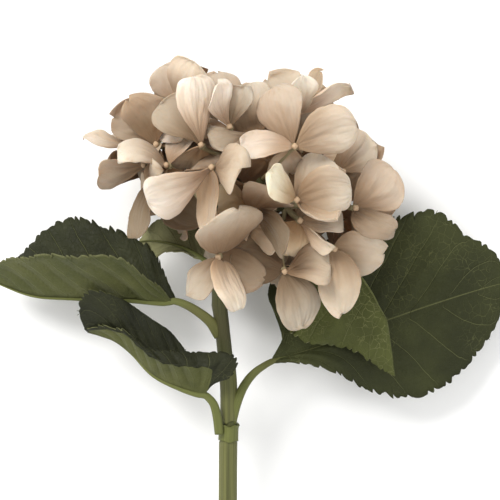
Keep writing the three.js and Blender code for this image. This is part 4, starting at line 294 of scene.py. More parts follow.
# tint, tip bluntness, ruffle and notch of the petals that differ: (floret, petal)
LOOK = {
    (0, 0): ('fawn', 0.42, 0.02, 0.0),
    (0, 1): ('sand', 0.42, 0.02, 0.0),
    (0, 2): ('pale', 0.6, 0.02, 0.0),
    (0, 3): ('white', 0.5, 0.02, 0.0),
    (1, 0): ('sand', 0.42, 0.02, 0.0),
    (1, 1): ('pearl', 0.5, 0.02, 0.0),
    (1, 2): ('beige', 0.7, 0.03, 0.0),
    (1, 3): ('sand', 0.5, 0.03, 0.0),
    (2, 0): ('pale', 0.42, 0.03, 0.0),
    (2, 1): ('rose', 0.6, 0.02, 0.0),
    (2, 2): ('beige', 0.5, 0.02, 0.0),
    (2, 3): ('fawn', 0.5, 0.02, 0.0),
    (3, 0): ('rose', 0.45, 0.03, 0.0),
    (3, 1): ('olive', 0.45, 0.02, 0.0),
    (3, 2): ('cream', 0.7, 0.03, 0.0),
    (3, 3): ('clay', 0.5, 0.02, 0.0),
    (4, 0): ('pale', 0.45, 0.03, 0.0),
    (4, 1): ('olive', 0.42, 0.03, 0.0),
    (4, 2): ('white', 0.6, 0.02, 0.0),
    (5, 0): ('fawn', 0.45, 0.02, 0.0),
    (5, 1): ('pale', 0.5, 0.02, 0.0),
    (5, 2): ('olive', 0.5, 0.02, 0.0),
    (6, 0): ('rose', 0.55, 0.02, 0.0),
    (6, 1): ('cream', 0.6, 0.02, 0.0),
    (6, 2): ('linen', 0.6, 0.02, 0.0),
    (7, 0): ('sand', 0.6, 0.03, 0.0),
    (7, 1): ('pale', 0.5, 0.02, 0.0),
    (8, 0): ('rose', 0.45, 0.03, 0.0),
    (8, 1): ('rose', 0.5, 0.03, 0.0),
    (8, 2): ('tan', 0.5, 0.02, 0.0),
    (9, 0): ('fawn', 0.42, 0.02, 0.0),
    (9, 1): ('clay', 0.7, 0.03, 0.0),
    (9, 2): ('tan', 0.5, 0.02, 0.0),
    (9, 3): ('sand', 0.5, 0.02, 0.0),
    (10, 0): ('olive', 0.6, 0.03, 0.0),
    (10, 1): ('sand', 0.45, 0.02, 0.0),
    (10, 2): ('tan', 0.5, 0.02, 0.0),
    (11, 0): ('pearl', 0.5, 0.02, 0.0),
    (11, 1): ('cream', 0.5, 0.02, 0.0),
    (11, 2): ('brown', 0.5, 0.02, 0.0),
    (12, 0): ('umber', 0.5, 0.02, 0.0),
    (12, 1): ('olive', 0.42, 0.03, 0.02),
    (12, 2): ('beige', 0.5, 0.02, 0.0),
    (12, 3): ('brown', 0.5, 0.02, 0.0),
    (13, 0): ('sand', 0.5, 0.02, 0.0),
    (14, 0): ('tan', 0.45, 0.02, 0.0),
    (14, 1): ('clay', 0.5, 0.02, 0.0),
    (15, 0): ('fawn', 0.45, 0.02, 0.0),
    (15, 1): ('sand', 0.42, 0.02, 0.0),
    (16, 0): ('brown', 0.8, 0.03, 0.0),
    (16, 1): ('umber', 0.5, 0.02, 0.0),
    (17, 0): ('white', 0.45, 0.02, 0.0),
    (17, 1): ('sand', 0.45, 0.02, 0.0),
    (17, 2): ('cream', 0.5, 0.02, 0.0),
    (17, 3): ('pale', 0.6, 0.03, 0.0),
    (18, 0): ('tan', 0.5, 0.02, 0.0),
    (19, 0): ('fawn', 0.5, 0.02, 0.0),
    (19, 1): ('cream', 0.5, 0.02, 0.0),
    (19, 2): ('cream', 0.6, 0.02, 0.0),
    (20, 0): ('beige', 0.45, 0.03, 0.0),
    (20, 1): ('umber', 0.6, 0.02, 0.0),
    (21, 0): ('sand', 0.55, 0.02, 0.0),
}

camera.location = ((0 + ORIGIN[0]) / 1000, (0 + ORIGIN[1]) / 1000, (1260 + ORIGIN[2]) / 1000)
camera.rotation_euler = (0, 0, 0)


def unit(v):
    v = np.asarray(v, float)
    return v / max(np.linalg.norm(v), 1e-12)


def rgb(r, g, b):
    """sRGB 0-255 to linear."""
    def lin(c):
        c /= 255.0
        return c / 12.92 if c <= 0.04045 else ((c + 0.055) / 1.055) ** 2.4
    return (lin(r), lin(g), lin(b), 1.0)


# ------------------------------------------------------------ mesh tools ----
def mesh_object(name, verts, faces, mats, mat_index=None, attrs=None, smooth=True):
    me = bpy.data.meshes.new(name)
    me.from_pydata([tuple(v) for v in (np.asarray(verts) + ORIGIN) / 1000.0], [], [tuple(int(i) for i in f) for f in faces])
    for m in mats:
        me.materials.append(m)
    if mat_index is not None:
        me.polygons.foreach_set("material_index", np.asarray(mat_index, dtype=np.int32))
    me.polygons.foreach_set("use_smooth", [smooth] * len(me.polygons))
    for key, val in (attrs or {}).items():
        val = np.asarray(val, dtype=np.float32)
        if val.shape[1] == 3:
            a = me.attributes.new(key, "FLOAT_VECTOR", "POINT")
            a.data.foreach_set("vector", val.ravel())
        else:
            a = me.attributes.new(key, "FLOAT_COLOR", "POINT")
            a.data.foreach_set("color", val.ravel())
    me.update()
    ob = bpy.data.objects.new(name, me)
    scene.collection.objects.link(ob)
    return ob


class Bag:
    """Collects several closed shells into one mesh."""

    def __init__(self):
        self.v, self.f, self.m, self.a, self.n = [], [], [], {}, 0

    def add(self, v, f, m=0, **attrs):
        v = np.asarray(v, float)
        self.v.append(v)
        self.f += [tuple(i + self.n for i in q) for q in f]
        self.m += list(m) if hasattr(m, "__len__") else [m] * len(f)
        for k, a in attrs.items():
            a = np.asarray(a, float)
            if a.ndim == 1:
                a = np.tile(a, (len(v), 1))
            self.a.setdefault(k, []).append(a)
        self.n += len(v)

    def object(self, name, mats):
        return mesh_object(name, np.concatenate(self.v), self.f, mats, self.m,
                           {k: np.concatenate(a) for k, a in self.a.items()})


def grid_normals(g):
    di = np.gradient(g, axis=0)
    dj = np.gradient(g, axis=1)
    n = np.cross(di, dj)
    l = np.linalg.norm(n, axis=-1, keepdims=True)
    return n / np.maximum(l, 1e-9)


def shell(g, thick, side_mats=(0, 0), edge_mat=0):
    """Closed thin body around a grid of points: vertices, faces, material index."""
    n, m = g.shape[:2]
    nn = grid_normals(g)
    t = thick if hasattr(thick, "shape") else np.full((n, m), thick)
    top = g + nn * t[..., None] / 2
    bot = g - nn * t[..., None] / 2
    K = n * m
    V = np.concatenate([top.reshape(-1, 3), bot.reshape(-1, 3)])
    F, M = [], []
    for i in range(n - 1):
        for j in range(m - 1):
            a, b, c, d = i * m + j, (i + 1) * m + j, (i + 1) * m + j + 1, i * m + j + 1
            F.append((a, b, c, d)); M.append(side_mats[0])
            F.append((a + K, d + K, c + K, b + K)); M.append(side_mats[1])
    rim = []
    for j in range(m - 1):
        rim.append((j + 1, j)); rim.append(((n - 1) * m + j, (n - 1) * m + j + 1))
    for i in range(n - 1):
        rim.append((i * m, (i + 1) * m)); rim.append(((i + 1) * m + m - 1, i * m + m - 1))
    for a, b in rim:
        F.append((b, a, a + K, b + K)); M.append(edge_mat)
    return V, F, M


def tube(pts, rx, ry=None, n=16, bump=None):
    """Closed tube through pts with per-point radii; bump(i, angle) adds to the radius."""
    pts = np.asarray(pts, float)
    K = len(pts)
    ry = rx if ry is None else ry
    V, F, A = [], [], []
    L = np.concatenate([[0], np.cumsum(np.linalg.norm(np.diff(pts, axis=0), axis=1))])
    for i in range(K):
        d = unit(pts[min(i + 1, K - 1)] - pts[max(i - 1, 0)])
        ref = np.array([1.0, 0, 0]) if abs(d[2]) > 0.95 else np.array([0, 0, 1.0])
        x = unit(np.cross(d, ref)); y = np.cross(x, d)
        for k in range(n):
            a = 2 * math.pi * k / n
            e = bump(i, a) if bump else 0.0
            V.append(pts[i] + (rx[i] + e) * math.cos(a) * x + (ry[i] + e) * math.sin(a) * y)
            A.append((L[i] / 10.0, k / n, i / (K - 1)))
    for i in range(K - 1):
        for k in range(n):
            a, b = i * n + k, i * n + (k + 1) % n
            F.append((a, b, b + n, a + n))
    V.append(pts[0]); V.append(pts[-1]); A.append((0, 0, 0)); A.append((L[-1] / 10, 0, 1))
    c0, c1 = len(V) - 2, len(V) - 1
    for k in range(n):
        F.append((c0, (k + 1) % n, k))
        F.append((c1, (K - 1) * n + k, (K - 1) * n + (k + 1) % n))
    return np.array(V), F, np.array(A)


def bez(a, b, c, n):
    t = np.linspace(0, 1, n + 1)[:, None]
    return (1 - t) ** 2 * a + 2 * t * (1 - t) * b + t * t * c


def smooth_rows(a, s):
    """Cubic through rows [s, ...values] at the values s."""
    a = np.asarray(a, float)
    s = np.asarray(s, float)
    x, y = a[:, 0], a[:, 1:]
    k = np.clip(np.searchsorted(x, s, side="right") - 1, 0, len(a) - 2)
    m = np.zeros_like(y)
    for i in range(len(a)):
        if i == 0:
            m[i] = (y[1] - y[0]) / (x[1] - x[0])
        elif i == len(a) - 1:
            m[i] = (y[-1] - y[-2]) / (x[-1] - x[-2])
        else:
            h0, h1 = x[i] - x[i - 1], x[i + 1] - x[i]
            m[i] = ((y[i] - y[i - 1]) / h0 * h1 + (y[i + 1] - y[i]) / h1 * h0) / (h0 + h1)
    h = (x[k + 1] - x[k])[..., None]
    t = ((s - x[k]) / (x[k + 1] - x[k]))[..., None]
    return ((2 * t ** 3 - 3 * t ** 2 + 1) * y[k] + (t ** 3 - 2 * t ** 2 + t) * h * m[k]
            + (-2 * t ** 3 + 3 * t ** 2) * y[k + 1] + (t ** 3 - t ** 2) * h * m[k + 1])


def vnoise(rng, n=6):
    """A smooth random function of two variables, built from a few sines."""
    w = [(rng.uniform(-1, 1), rng.uniform(-1, 1), rng.uniform(0, 6.28), rng.uniform(0.4, 1)) for _ in range(n)]

    def f(x, y, k=1.0):
        return sum(a * np.sin(k * (p * x + q * y) + r) for p, q, r, a in w) / n
    return f


# ---------------------------------------------------------- petal surface ----
NK = 24


def petal_frame(B, T, N, bend):
    B, T, N = (np.asarray(v, float) for v in (B, T, N))
    D = T - B
    chord = np.linalg.norm(D)
    D = D / chord
    N = unit(N - D * np.dot(N, D))
    S = np.cross(N, D)
    u = np.arange(NK + 1) / NK
    th = bend * (u - 0.5)
    c, s = np.cos(th), np.sin(th)
    X = np.concatenate([[0], np.cumsum((c[1:] + c[:-1]) / 2)]) / NK
    Z = np.concatenate([[0], np.cumsum((s[1:] + s[:-1]) / 2)]) / NK
    a = math.atan2(Z[-1], X[-1])
    L = chord / math.hypot(X[-1], Z[-1])
    ca, sa = math.cos(a), math.sin(a)
    return D, N, S, (X * ca + Z * sa) * L, (-X * sa + Z * ca) * L, th - a


def half_width(u, a, b):
    m = a / (a + b)
    base = (u ** a) * ((1 - u) ** b) / ((m ** a) * ((1 - m) ** b))
    return 0.10 * (1 - u) ** 3 + base


def petal_grid(q, rng, ns=30, nt=24, b=0.5, ruf=0.02, relief=0.13, notch=0.0):
    """Points of one petal (rows along, columns across) with its u and t."""
    B, T, N, W, bend, cup, twist, fold, sweep, lop, wa, wb = q[:12]
    wb = min(0.47, max(0.34, wb * (0.55 + 0.42 * b)))
    D, N, S, X, Z, th = petal_frame(B, T, N, bend)
    s = np.linspace(0, 1, ns + 1)[:, None]
    s = 1 - (1 - s) ** 1.15
    t = np.linspace(-1, 1, nt + 1)[None, :]
    s, t = np.broadcast_arrays(s, t)
    u = s * np.sqrt(1 - t * t / 2)
    den = np.sqrt(np.maximum(1 - u * u, 1e-12))
    te = np.clip(np.where(den > 1e-5, t * np.sqrt(1 - s * s / 2) / np.maximum(den, 1e-6), 0.0), -1, 1)
    k = u * NK
    i = np.minimum(k.astype(int), NK - 1)
    f = k - i
    x = X[i] * (1 - f) + X[i + 1] * f
    z = Z[i] * (1 - f) + Z[i + 1] * f
    a = th[i] * (1 - f) + th[i + 1] * f
    n1, n2 = vnoise(rng), vnoise(rng)
    hw = half_width(u, wa, wb) * (1 + lop * te)
    edge = 1 + (0.048 * np.sin(8 * u + rng.uniform(0, 6.28) + 1.2 * np.sign(te)) + 0.012 * np.sin(31 * u + rng.uniform(0, 6.28))) * np.abs(te) ** 2
    w = W / 2 * hw * edge
    tw = twist * (u - 0.3)
    g = cup * (0.5 + 0.5 * u)
    g = np.where(np.abs(g) < 1e-4, 1e-4, g)
    lat = w * np.sin(g * te) / g
    rise = w * (1 - np.cos(g * te)) / g
    rise = rise + w * fold * (np.sqrt(te * te + 0.02) - math.sqrt(0.02))
    # the margin rolls back and waves, pleats run from the foot
    at = np.abs(te)
    sg = -1.0 if cup > -0.1 else 1.0
    ph = [rng.uniform(0, 6.28) for _ in range(6)]
    rise = rise + (ruf + 0.034) * W * (u ** 1.5) * at ** 2.0 * np.sin(6.4 * u + ph[0] + 2.1 * np.sign(te))
    rise = rise + 0.30 * np.clip(u * 1.4, 0, 1) * at ** 3 * np.sin(15.0 * u + ph[1] + 1.5 * te)
    amt = 1.20 + 1.0 * np.sin(2.6 * u * np.sign(te) + ph[2] + 1.4 * te)
    lip = at ** 5 * np.clip(u * 2.2, 0, 1) + 1.1 * np.clip((u - 0.74) / 0.26, 0, 1) ** 2
    rise = rise + sg * amt * lip
    rise = rise + 0.042 * W * n1(u, te, 3.0) * u + 0.014 * W * n2(u, te, 8.0) * np.clip(u * 2, 0, 1)
    env = np.clip(u * 3, 0, 1) * np.clip((1 - u) * 2.0, 0, 1) * np.clip((1 - at) * 3, 0, 1)
    q1 = te * (3.4 + rng.uniform(-0.9, 0.9)) + 1.5 * n2(u, te, 2.4) + ph[3]
    rise = rise + relief * env * (1.0 - np.abs(np.sin(q1)) ** 1.7 * 2.0)
    # one or two creases that the cloth has taken, off the middle
    for _ in range(rng.choice([1, 2, 2, 3])):
        t0, t1 = rng.uniform(-0.35, 0.35), rng.uniform(-0.95, 0.95)
        wd, dp = rng.uniform(0.07, 0.16), rng.choice([-1, 1]) * rng.uniform(0.35, 0.95)
        u0, u1 = rng.uniform(0.05, 0.35), rng.uniform(0.65, 1.0)
        on = np.clip((u - u0) * 6, 0, 1) * np.clip((u1 - u) * 5, 0, 1)
        rise = rise + dp * on * np.exp(-((te - (t0 + (t1 - t0) * u)) / wd) ** 2)
    rise = rise + 0.12 * relief * env * np.cos(te * 13 + 2.6 * n2(u, te, 5.0) + ph[4]) * (0.5 + 0.5 * np.sin(3 * te + ph[5]))
    rise = rise - 0.60 * np.exp(-(te / 0.12) ** 2) * np.clip(u * 4, 0, 1) * np.clip(1 - u * 1.15, 0, 1)
    x = x - notch * W * (u ** 8) * np.exp(-(te / 0.3) ** 2)
    cs, sn = np.cos(tw), np.sin(tw)
    ls = lat * cs - rise * sn + sweep * W * np.sin(np.pi * u) / 2
    ln = lat * sn + rise * cs
    P = np.asarray(B, float) + x[..., None] * D + z[..., None] * N + ls[..., None] * S \
        + ln[..., None] * ((-np.sin(a))[..., None] * D + np.cos(a)[..., None] * N)
    return P, u, te


# --------------------------------------------------------------- materials ----
class Nodes:
    def __init__(self, name):
        self.mat = bpy.data.materials.new(name)
        self.mat.use_nodes = True
        self.nt = self.mat.node_tree
        for n in list(self.nt.nodes):
            self.nt.nodes.remove(n)
        self.out = self.nt.nodes.new("ShaderNodeOutputMaterial")
        self.b = self.nt.nodes.new("ShaderNodeBsdfPrincipled")
        self.nt.links.new(self.b.outputs[0], self.out.inputs[0])

    def put(self, sock, v):
        if hasattr(v, "is_linked") or isinstance(v, bpy.types.NodeSocket):
            self.nt.links.new(v, sock)
        else:
            sock.default_value = v

    def node(self, kind, **props):
        n = self.nt.nodes.new(kind)
        for k, v in props.items():
            setattr(n, k, v)
        return n

    def math(self, op, a, b=None, c=None, clamp=False):
        n = self.node("ShaderNodeMath", operation=op, use_clamp=clamp)
        for i, v in enumerate((a, b, c)):
            if v is not None:
                self.put(n.inputs[i], v)
        return n.outputs[0]

    def ramp(self, v, lo, hi, a=0.0, b=1.0, kind="SMOOTHSTEP"):
        n = self.node("ShaderNodeMapRange", interpolation_type=kind)
        n.clamp = True
        self.put(n.inputs["Value"], v)
        for key, x in (("From Min", lo), ("From Max", hi), ("To Min", a), ("To Max", b)):
            self.put(n.inputs[key], x)
        return n.outputs[0]

    def mix(self, f, a, b, mode="MIX"):
        n = self.node("ShaderNodeMix", data_type="RGBA", blend_type=mode)
        n.clamp_factor = True
        self.put(n.inputs[0], f)
        self.put(n.inputs[6], a)
        self.put(n.inputs[7], b)
        return n.outputs[2]

    def attr(self, name):
        n = self.node("ShaderNodeAttribute", attribute_type="GEOMETRY", attribute_name=name)
        return n

    def xyz(self, v):
        n = self.node("ShaderNodeSeparateXYZ")
        self.put(n.inputs[0], v)
        return n.outputs

    def vec(self, x, y, z):
        n = self.node("ShaderNodeCombineXYZ")
        for i, v in enumerate((x, y, z)):
            self.put(n.inputs[i], v)
        return n.outputs[0]

    def noise(self, v, scale, detail=3.0, rough=0.55, dist=0.0):
        n = self.node("ShaderNodeTexNoise", noise_dimensions="3D")
        self.put(n.inputs["Vector"], v)
        n.inputs["Scale"].default_value = scale
        n.inputs["Detail"].default_value = detail
        n.inputs["Roughness"].default_value = rough
        n.inputs["Distortion"].default_value = dist
        return n.outputs["Fac"]

    def noise_col(self, v, scale, detail=2.0):
        n = self.node("ShaderNodeTexNoise", noise_dimensions="3D")
        self.put(n.inputs["Vector"], v)
        n.inputs["Scale"].default_value = scale
        n.inputs["Detail"].default_value = detail
        return n.outputs["Color"]

    def voro_edge(self, v, scale, rand=1.0):
        n = self.node("ShaderNodeTexVoronoi", feature="DISTANCE_TO_EDGE", voronoi_dimensions="3D")
        self.put(n.inputs["Vector"], v)
        n.inputs["Scale"].default_value = scale
        n.inputs["Randomness"].default_value = rand
        return n.outputs["Distance"]

    def vmath(self, op, a, b=None, scale=None):
        n = self.node("ShaderNodeVectorMath", operation=op)
        self.put(n.inputs[0], a)
        if b is not None:
            self.put(n.inputs[1], b)
        if scale is not None:
            self.put(n.inputs["Scale"], scale)
        return n.outputs[0]

    def bump(self, h, dist, strength=1.0):
        n = self.node("ShaderNodeBump")
        n.inputs["Strength"].default_value = strength
        n.inputs["Distance"].default_value = dist
        self.put(n.inputs["Height"], h)
        self.nt.links.new(n.outputs[0], self.b.inputs["Normal"])

    def finish(self, color, rough, **sockets):
        self.put(self.b.inputs["Base Color"], color)
        self.put(self.b.inputs["Roughness"], rough)
        for k, v in sockets.items():
            self.put(self.b.inputs[k.replace("_", " ")], v)
        return self.mat


def line(N, v, width):
    """1 on the lines where v is a whole number, falling off over width."""
    fr = N.math("FRACT", v)
    d = N.math("ABSOLUTE", N.math("SUBTRACT", fr, 0.5))
    return N.ramp(d, 0.5 - width, 0.5, 0.0, 1.0)


def petal_material(name):
    """Dyed petal cloth: broad uneven dye, darker foot that is partly painted shade in the floret's hollow, faint veins,
    crinkled.
    """
    N = Nodes(name)
    tint = N.attr("tint").outputs["Color"]
    u, t, seed = N.xyz(N.attr("puv").outputs["Vector"])[:3]
    obj = N.node("ShaderNodeTexCoord").outputs["Object"]
    seedv = N.vec(N.math("MULTIPLY", seed, 7.3), N.math("MULTIPLY", seed, 3.1), seed)
    pos = N.vmath("ADD", N.vec(N.math("MULTIPLY", u, 3.0), N.math("MULTIPLY", t, 1.3), 0.0), seedv)
    warp = N.noise(pos, 2.2, 2.0)
    warp2 = N.noise(pos, 6.0, 3.0)
    at = N.math("ABSOLUTE", t)
    # veins run from the foot to the margin, finer ones between them
    v1 = N.math("ADD", N.math("MULTIPLY", t, 2.7), N.math("MULTIPLY", N.math("SUBTRACT", warp, 0.5), 1.1))
    v2 = N.math("ADD", N.math("MULTIPLY", t, 6.5), N.math("MULTIPLY", N.math("SUBTRACT", warp2, 0.5), 2.6))
    l1 = line(N, v1, 0.13)
    l2 = line(N, v2, 0.18)
    fade = N.math("MULTIPLY", N.ramp(u, 0.04, 0.2), N.ramp(u, 0.50, 0.95, 1.0, 0.0))
    fade2 = N.math("MULTIPLY", N.ramp(u, 0.22, 0.5), N.ramp(u, 0.72, 1.0, 1.0, 0.0))
    veins = N.math("ADD", N.math("MULTIPLY", l1, fade), N.math("MULTIPLY", N.math("MULTIPLY", l2, fade2), 0.5), clamp=True)
    # broad unevenness of the dye
    big = N.noise(N.vmath("ADD", obj, seedv), 34.0, 2.0)
    mid = N.noise(N.vmath("ADD", obj, seedv), 95.0, 3.0)
    deep = N.mix(1.0, tint, (0.80, 0.70, 0.58, 1), "MULTIPLY")
    col = N.mix(N.ramp(big, 0.34, 0.70, 0.0, 0.60), tint, deep)
    col = N.mix(N.ramp(mid, 0.48, 0.72, 0.0, 0.28), col, deep)
    pale = N.mix(1.0, tint, (1.16, 1.18, 1.22, 1), "MULTIPLY")
    col = N.mix(N.math("MULTIPLY", N.ramp(u, 0.40, 0.95), N.ramp(mid, 0.25, 0.6, 0.85, 0.40)), col, pale)
    # darker foot with streaks between the veins: partly darker dye, partly painted shade where the petals meet in the
    # floret's hollow
    streak = N.noise(N.vmath("ADD", N.vec(N.math("MULTIPLY", u, 1.6), N.math("MULTIPLY", t, 2.6), 0.0), seedv), 1.3, 1.0)
    reach = N.math("ADD", 0.34, N.math("MULTIPLY", streak, 0.34))
    foot = N.ramp(N.math("DIVIDE", u, reach), 0.10, 1.35, 0.84, 0.0)
    col = N.mix(N.ramp(u, 0.0, 0.80, 0.45, 0.0), col, N.mix(1.0, tint, (0.78, 0.66, 0.52, 1), "MULTIPLY"))
    col = N.mix(foot, col, N.mix(1.0, tint, (0.46, 0.35, 0.25, 1), "MULTIPLY"))
    col = N.mix(N.math("MULTIPLY", veins, 0.03), col, N.mix(1.0, tint, (0.52, 0.42, 0.33, 1), "MULTIPLY"))
    # cut margin: browned in places
    rim = N.math("MAXIMUM", N.ramp(at, 0.955, 1.0), N.ramp(u, 0.972, 1.0))
    col = N.mix(N.math("MULTIPLY", rim, N.ramp(warp2, 0.38, 0.62, 0.0, 0.32)), col, N.mix(1.0, tint, (0.62, 0.50, 0.38, 1), "MULTIPLY"))
    brown = N.math("MULTIPLY", N.math("MAXIMUM", N.ramp(at, 0.66, 1.0), N.ramp(u, 0.78, 1.0)), N.ramp(N.noise(pos, 3.1, 3.0), 0.52, 0.72))
    col = N.mix(N.math("MULTIPLY", brown, 0.42), col, N.mix(1.0, tint, (0.78, 0.66, 0.50, 1), "MULTIPLY"))
    # cloth: woven threads, soft crinkles, veins pressed in
    wv = N.vec(N.math("MULTIPLY", u, 58.0), N.math("MULTIPLY", t, 34.0), 0.0)
    warpv = N.vmath("ADD", wv, N.vmath("SCALE", N.noise_col(pos, 3.0), scale=3.0))
    wx, wy = N.xyz(warpv)[:2]
    thread = N.math("MULTIPLY", N.math("SINE", N.math("MULTIPLY", wx, 6.2832)), N.math("SINE", N.math("MULTIPLY", wy, 6.2832)))
    crinkle = N.noise(N.vmath("ADD", obj, seedv), 230.0, 3.0, 0.6, 0.6)
    fold = N.noise(N.vmath("ADD", N.vec(N.math("MULTIPLY", u, 1.6), N.math("MULTIPLY", t, 3.0), 0.0), seedv), 1.4, 1.0)
    h = N.math("ADD", N.math("MULTIPLY", veins, -0.045), N.math("MULTIPLY", crinkle, 0.60))
    h = N.math("ADD", h, N.math("MULTIPLY", thread, 0.035))
    h = N.math("ADD", h, N.math("MULTIPLY", fold, 1.5))
    N.bump(h, 0.0008, 0.60)
    rough = N.ramp(crinkle, 0.2, 0.8, 0.62, 0.80, "LINEAR")
    m = N.finish(col, rough)
    N.b.inputs["Subsurface Weight"].default_value = 0.28
    N.b.inputs["Subsurface Radius"].default_value = (1.0, 0.62, 0.36)
    N.b.inputs["Subsurface Scale"].default_value = 0.0018
    N.b.inputs["Sheen Weight"].default_value = 0.10
    N.b.inputs["Sheen Roughness"].default_value = 0.5
    N.b.inputs["Specular IOR Level"].default_value = 0.18
    return m


def leaf_material(name, under=False):
    N = Nodes(name)
    s, t, seed = N.xyz(N.attr("luv").outputs["Vector"])[:3]
    side = N.xyz(N.attr("lside").outputs["Vector"])
    p, at = side[0], side[1]          # rib phase and distance from the midrib
    obj = N.node("ShaderNodeTexCoord").outputs["Object"]
    d = N.vmath("SCALE", N.noise_col(obj, 130.0), scale=0.006)
    warped = N.vmath("ADD", obj, d)
    net1 = N.ramp(N.voro_edge(warped, 250.0), 0.0, 0.040, 1.0, 0.0)
    net2 = N.ramp(N.voro_edge(warped, 420.0), 0.0, 0.09, 1.0, 0.0)
    patch = N.noise(obj, 26.0, 3.0)
    patch2 = N.noise(obj, 70.0, 3.0)
    w = N.math("ADD", p, N.math("MULTIPLY", N.math("SUBTRACT", N.noise(obj, 60.0, 2.0), 0.5), 0.16))
    ribs = line(N, w, 0.055)
    ribfade = N.math("MULTIPLY", N.ramp(at, 0.02, 0.1), N.ramp(at, 0.80, 1.0, 1.0, 0.0))
    mid = N.ramp(at, 0.0, 0.012 if not under else 0.022, 1.0, 0.0)
    thin = N.ramp(N.math("ABSOLUTE", N.math("SUBTRACT", N.math("FRACT", w), 0.5)), 0.487, 0.5)
    grain = N.noise(obj, 900.0, 3.0, 0.6)
    if under:
        col = N.mix(N.ramp(patch, 0.3, 0.7), rgb(70, 74, 38), rgb(91, 93, 52))
        col = N.mix(N.math("MULTIPLY", N.ramp(patch2, 0.45, 0.75), 0.5), col, rgb(54, 58, 30))
        col = N.mix(N.math("MULTIPLY", N.math("MULTIPLY", ribs, ribfade), 0.40), col, rgb(108, 112, 64))
        col = N.mix(N.math("MULTIPLY", net2, 0.16), col, rgb(98, 98, 60))
        col = N.mix(N.math("MULTIPLY", mid, 0.8), col, rgb(120, 120, 72))
        col = N.mix(N.math("MULTIPLY", N.ramp(at, 0.955, 1.0), 0.45), col, rgb(118, 118, 84))
        # painted light: a leaf with a high lightness value gets a paler underside, a lit version of the same colour
        col = N.mix(N.ramp(seed, 0.6, 1.7, 0.0, 0.75), col, rgb(146, 144, 104))
        hgt = N.math("ADD", N.math("MULTIPLY", ribs, 1.0), N.math("MULTIPLY", net2, 0.35))
    else:
        # painted light: a higher lightness value turns the dark upper side to a lighter green, as if lit; the vein net
        # shows more with it
        painted_light_level = N.xyz(N.attr("luv").outputs["Vector"])[2]
        col = N.mix(N.ramp(patch, 0.32, 0.68), rgb(29, 31, 18), rgb(43, 45, 26))
        col = N.mix(N.math("MULTIPLY", N.ramp(patch2, 0.45, 0.72), 0.5), col, rgb(24, 26, 16))
        col = N.mix(N.ramp(painted_light_level, 0.1, 1.6, 0.0, 1.0, "LINEAR"), col, N.mix(N.ramp(patch, 0.3, 0.7), rgb(66, 70, 33), rgb(88, 93, 46)))
        amt = N.ramp(N.noise(obj, 30.0, 2.0), N.ramp(painted_light_level, 0.3, 1.6, 0.47, 0.34, "LINEAR"), 0.66, 0.03, N.ramp(painted_light_level, 0.3, 1.6, 0.34, 1.0, "LINEAR"))
        col = N.mix(N.math("MULTIPLY", net1, amt), col, rgb(118, 120, 76))
        col = N.mix(N.math("MULTIPLY", N.math("MULTIPLY", net2, amt), 0.35), col, rgb(74, 78, 42))
        col = N.mix(N.math("MULTIPLY", N.math("MULTIPLY", thin, ribfade), 0.62), col, rgb(112, 114, 74))
        col = N.mix(N.math("MULTIPLY", mid, 0.7), col, rgb(108, 110, 70))
        hgt = N.math("ADD", N.math("MULTIPLY", ribs, -0.8), N.math("MULTIPLY", net1, -0.35))
        hgt = N.math("ADD", hgt, N.math("MULTIPLY", net2, -0.25))
    weave = N.noise(obj, 1900.0, 2.0, 0.6)
    hgt = N.math("ADD", hgt, N.math("MULTIPLY", grain, 0.22))
    hgt = N.math("ADD", hgt, N.math("MULTIPLY", weave, 0.10))
    N.bump(hgt, 0.0007, 0.6)
    rough = N.ramp(grain, 0.3, 0.7, 0.58, 0.74, "LINEAR")
    m = N.finish(col, rough)
    N.b.inputs["Specular IOR Level"].default_value = 0.20
    return m


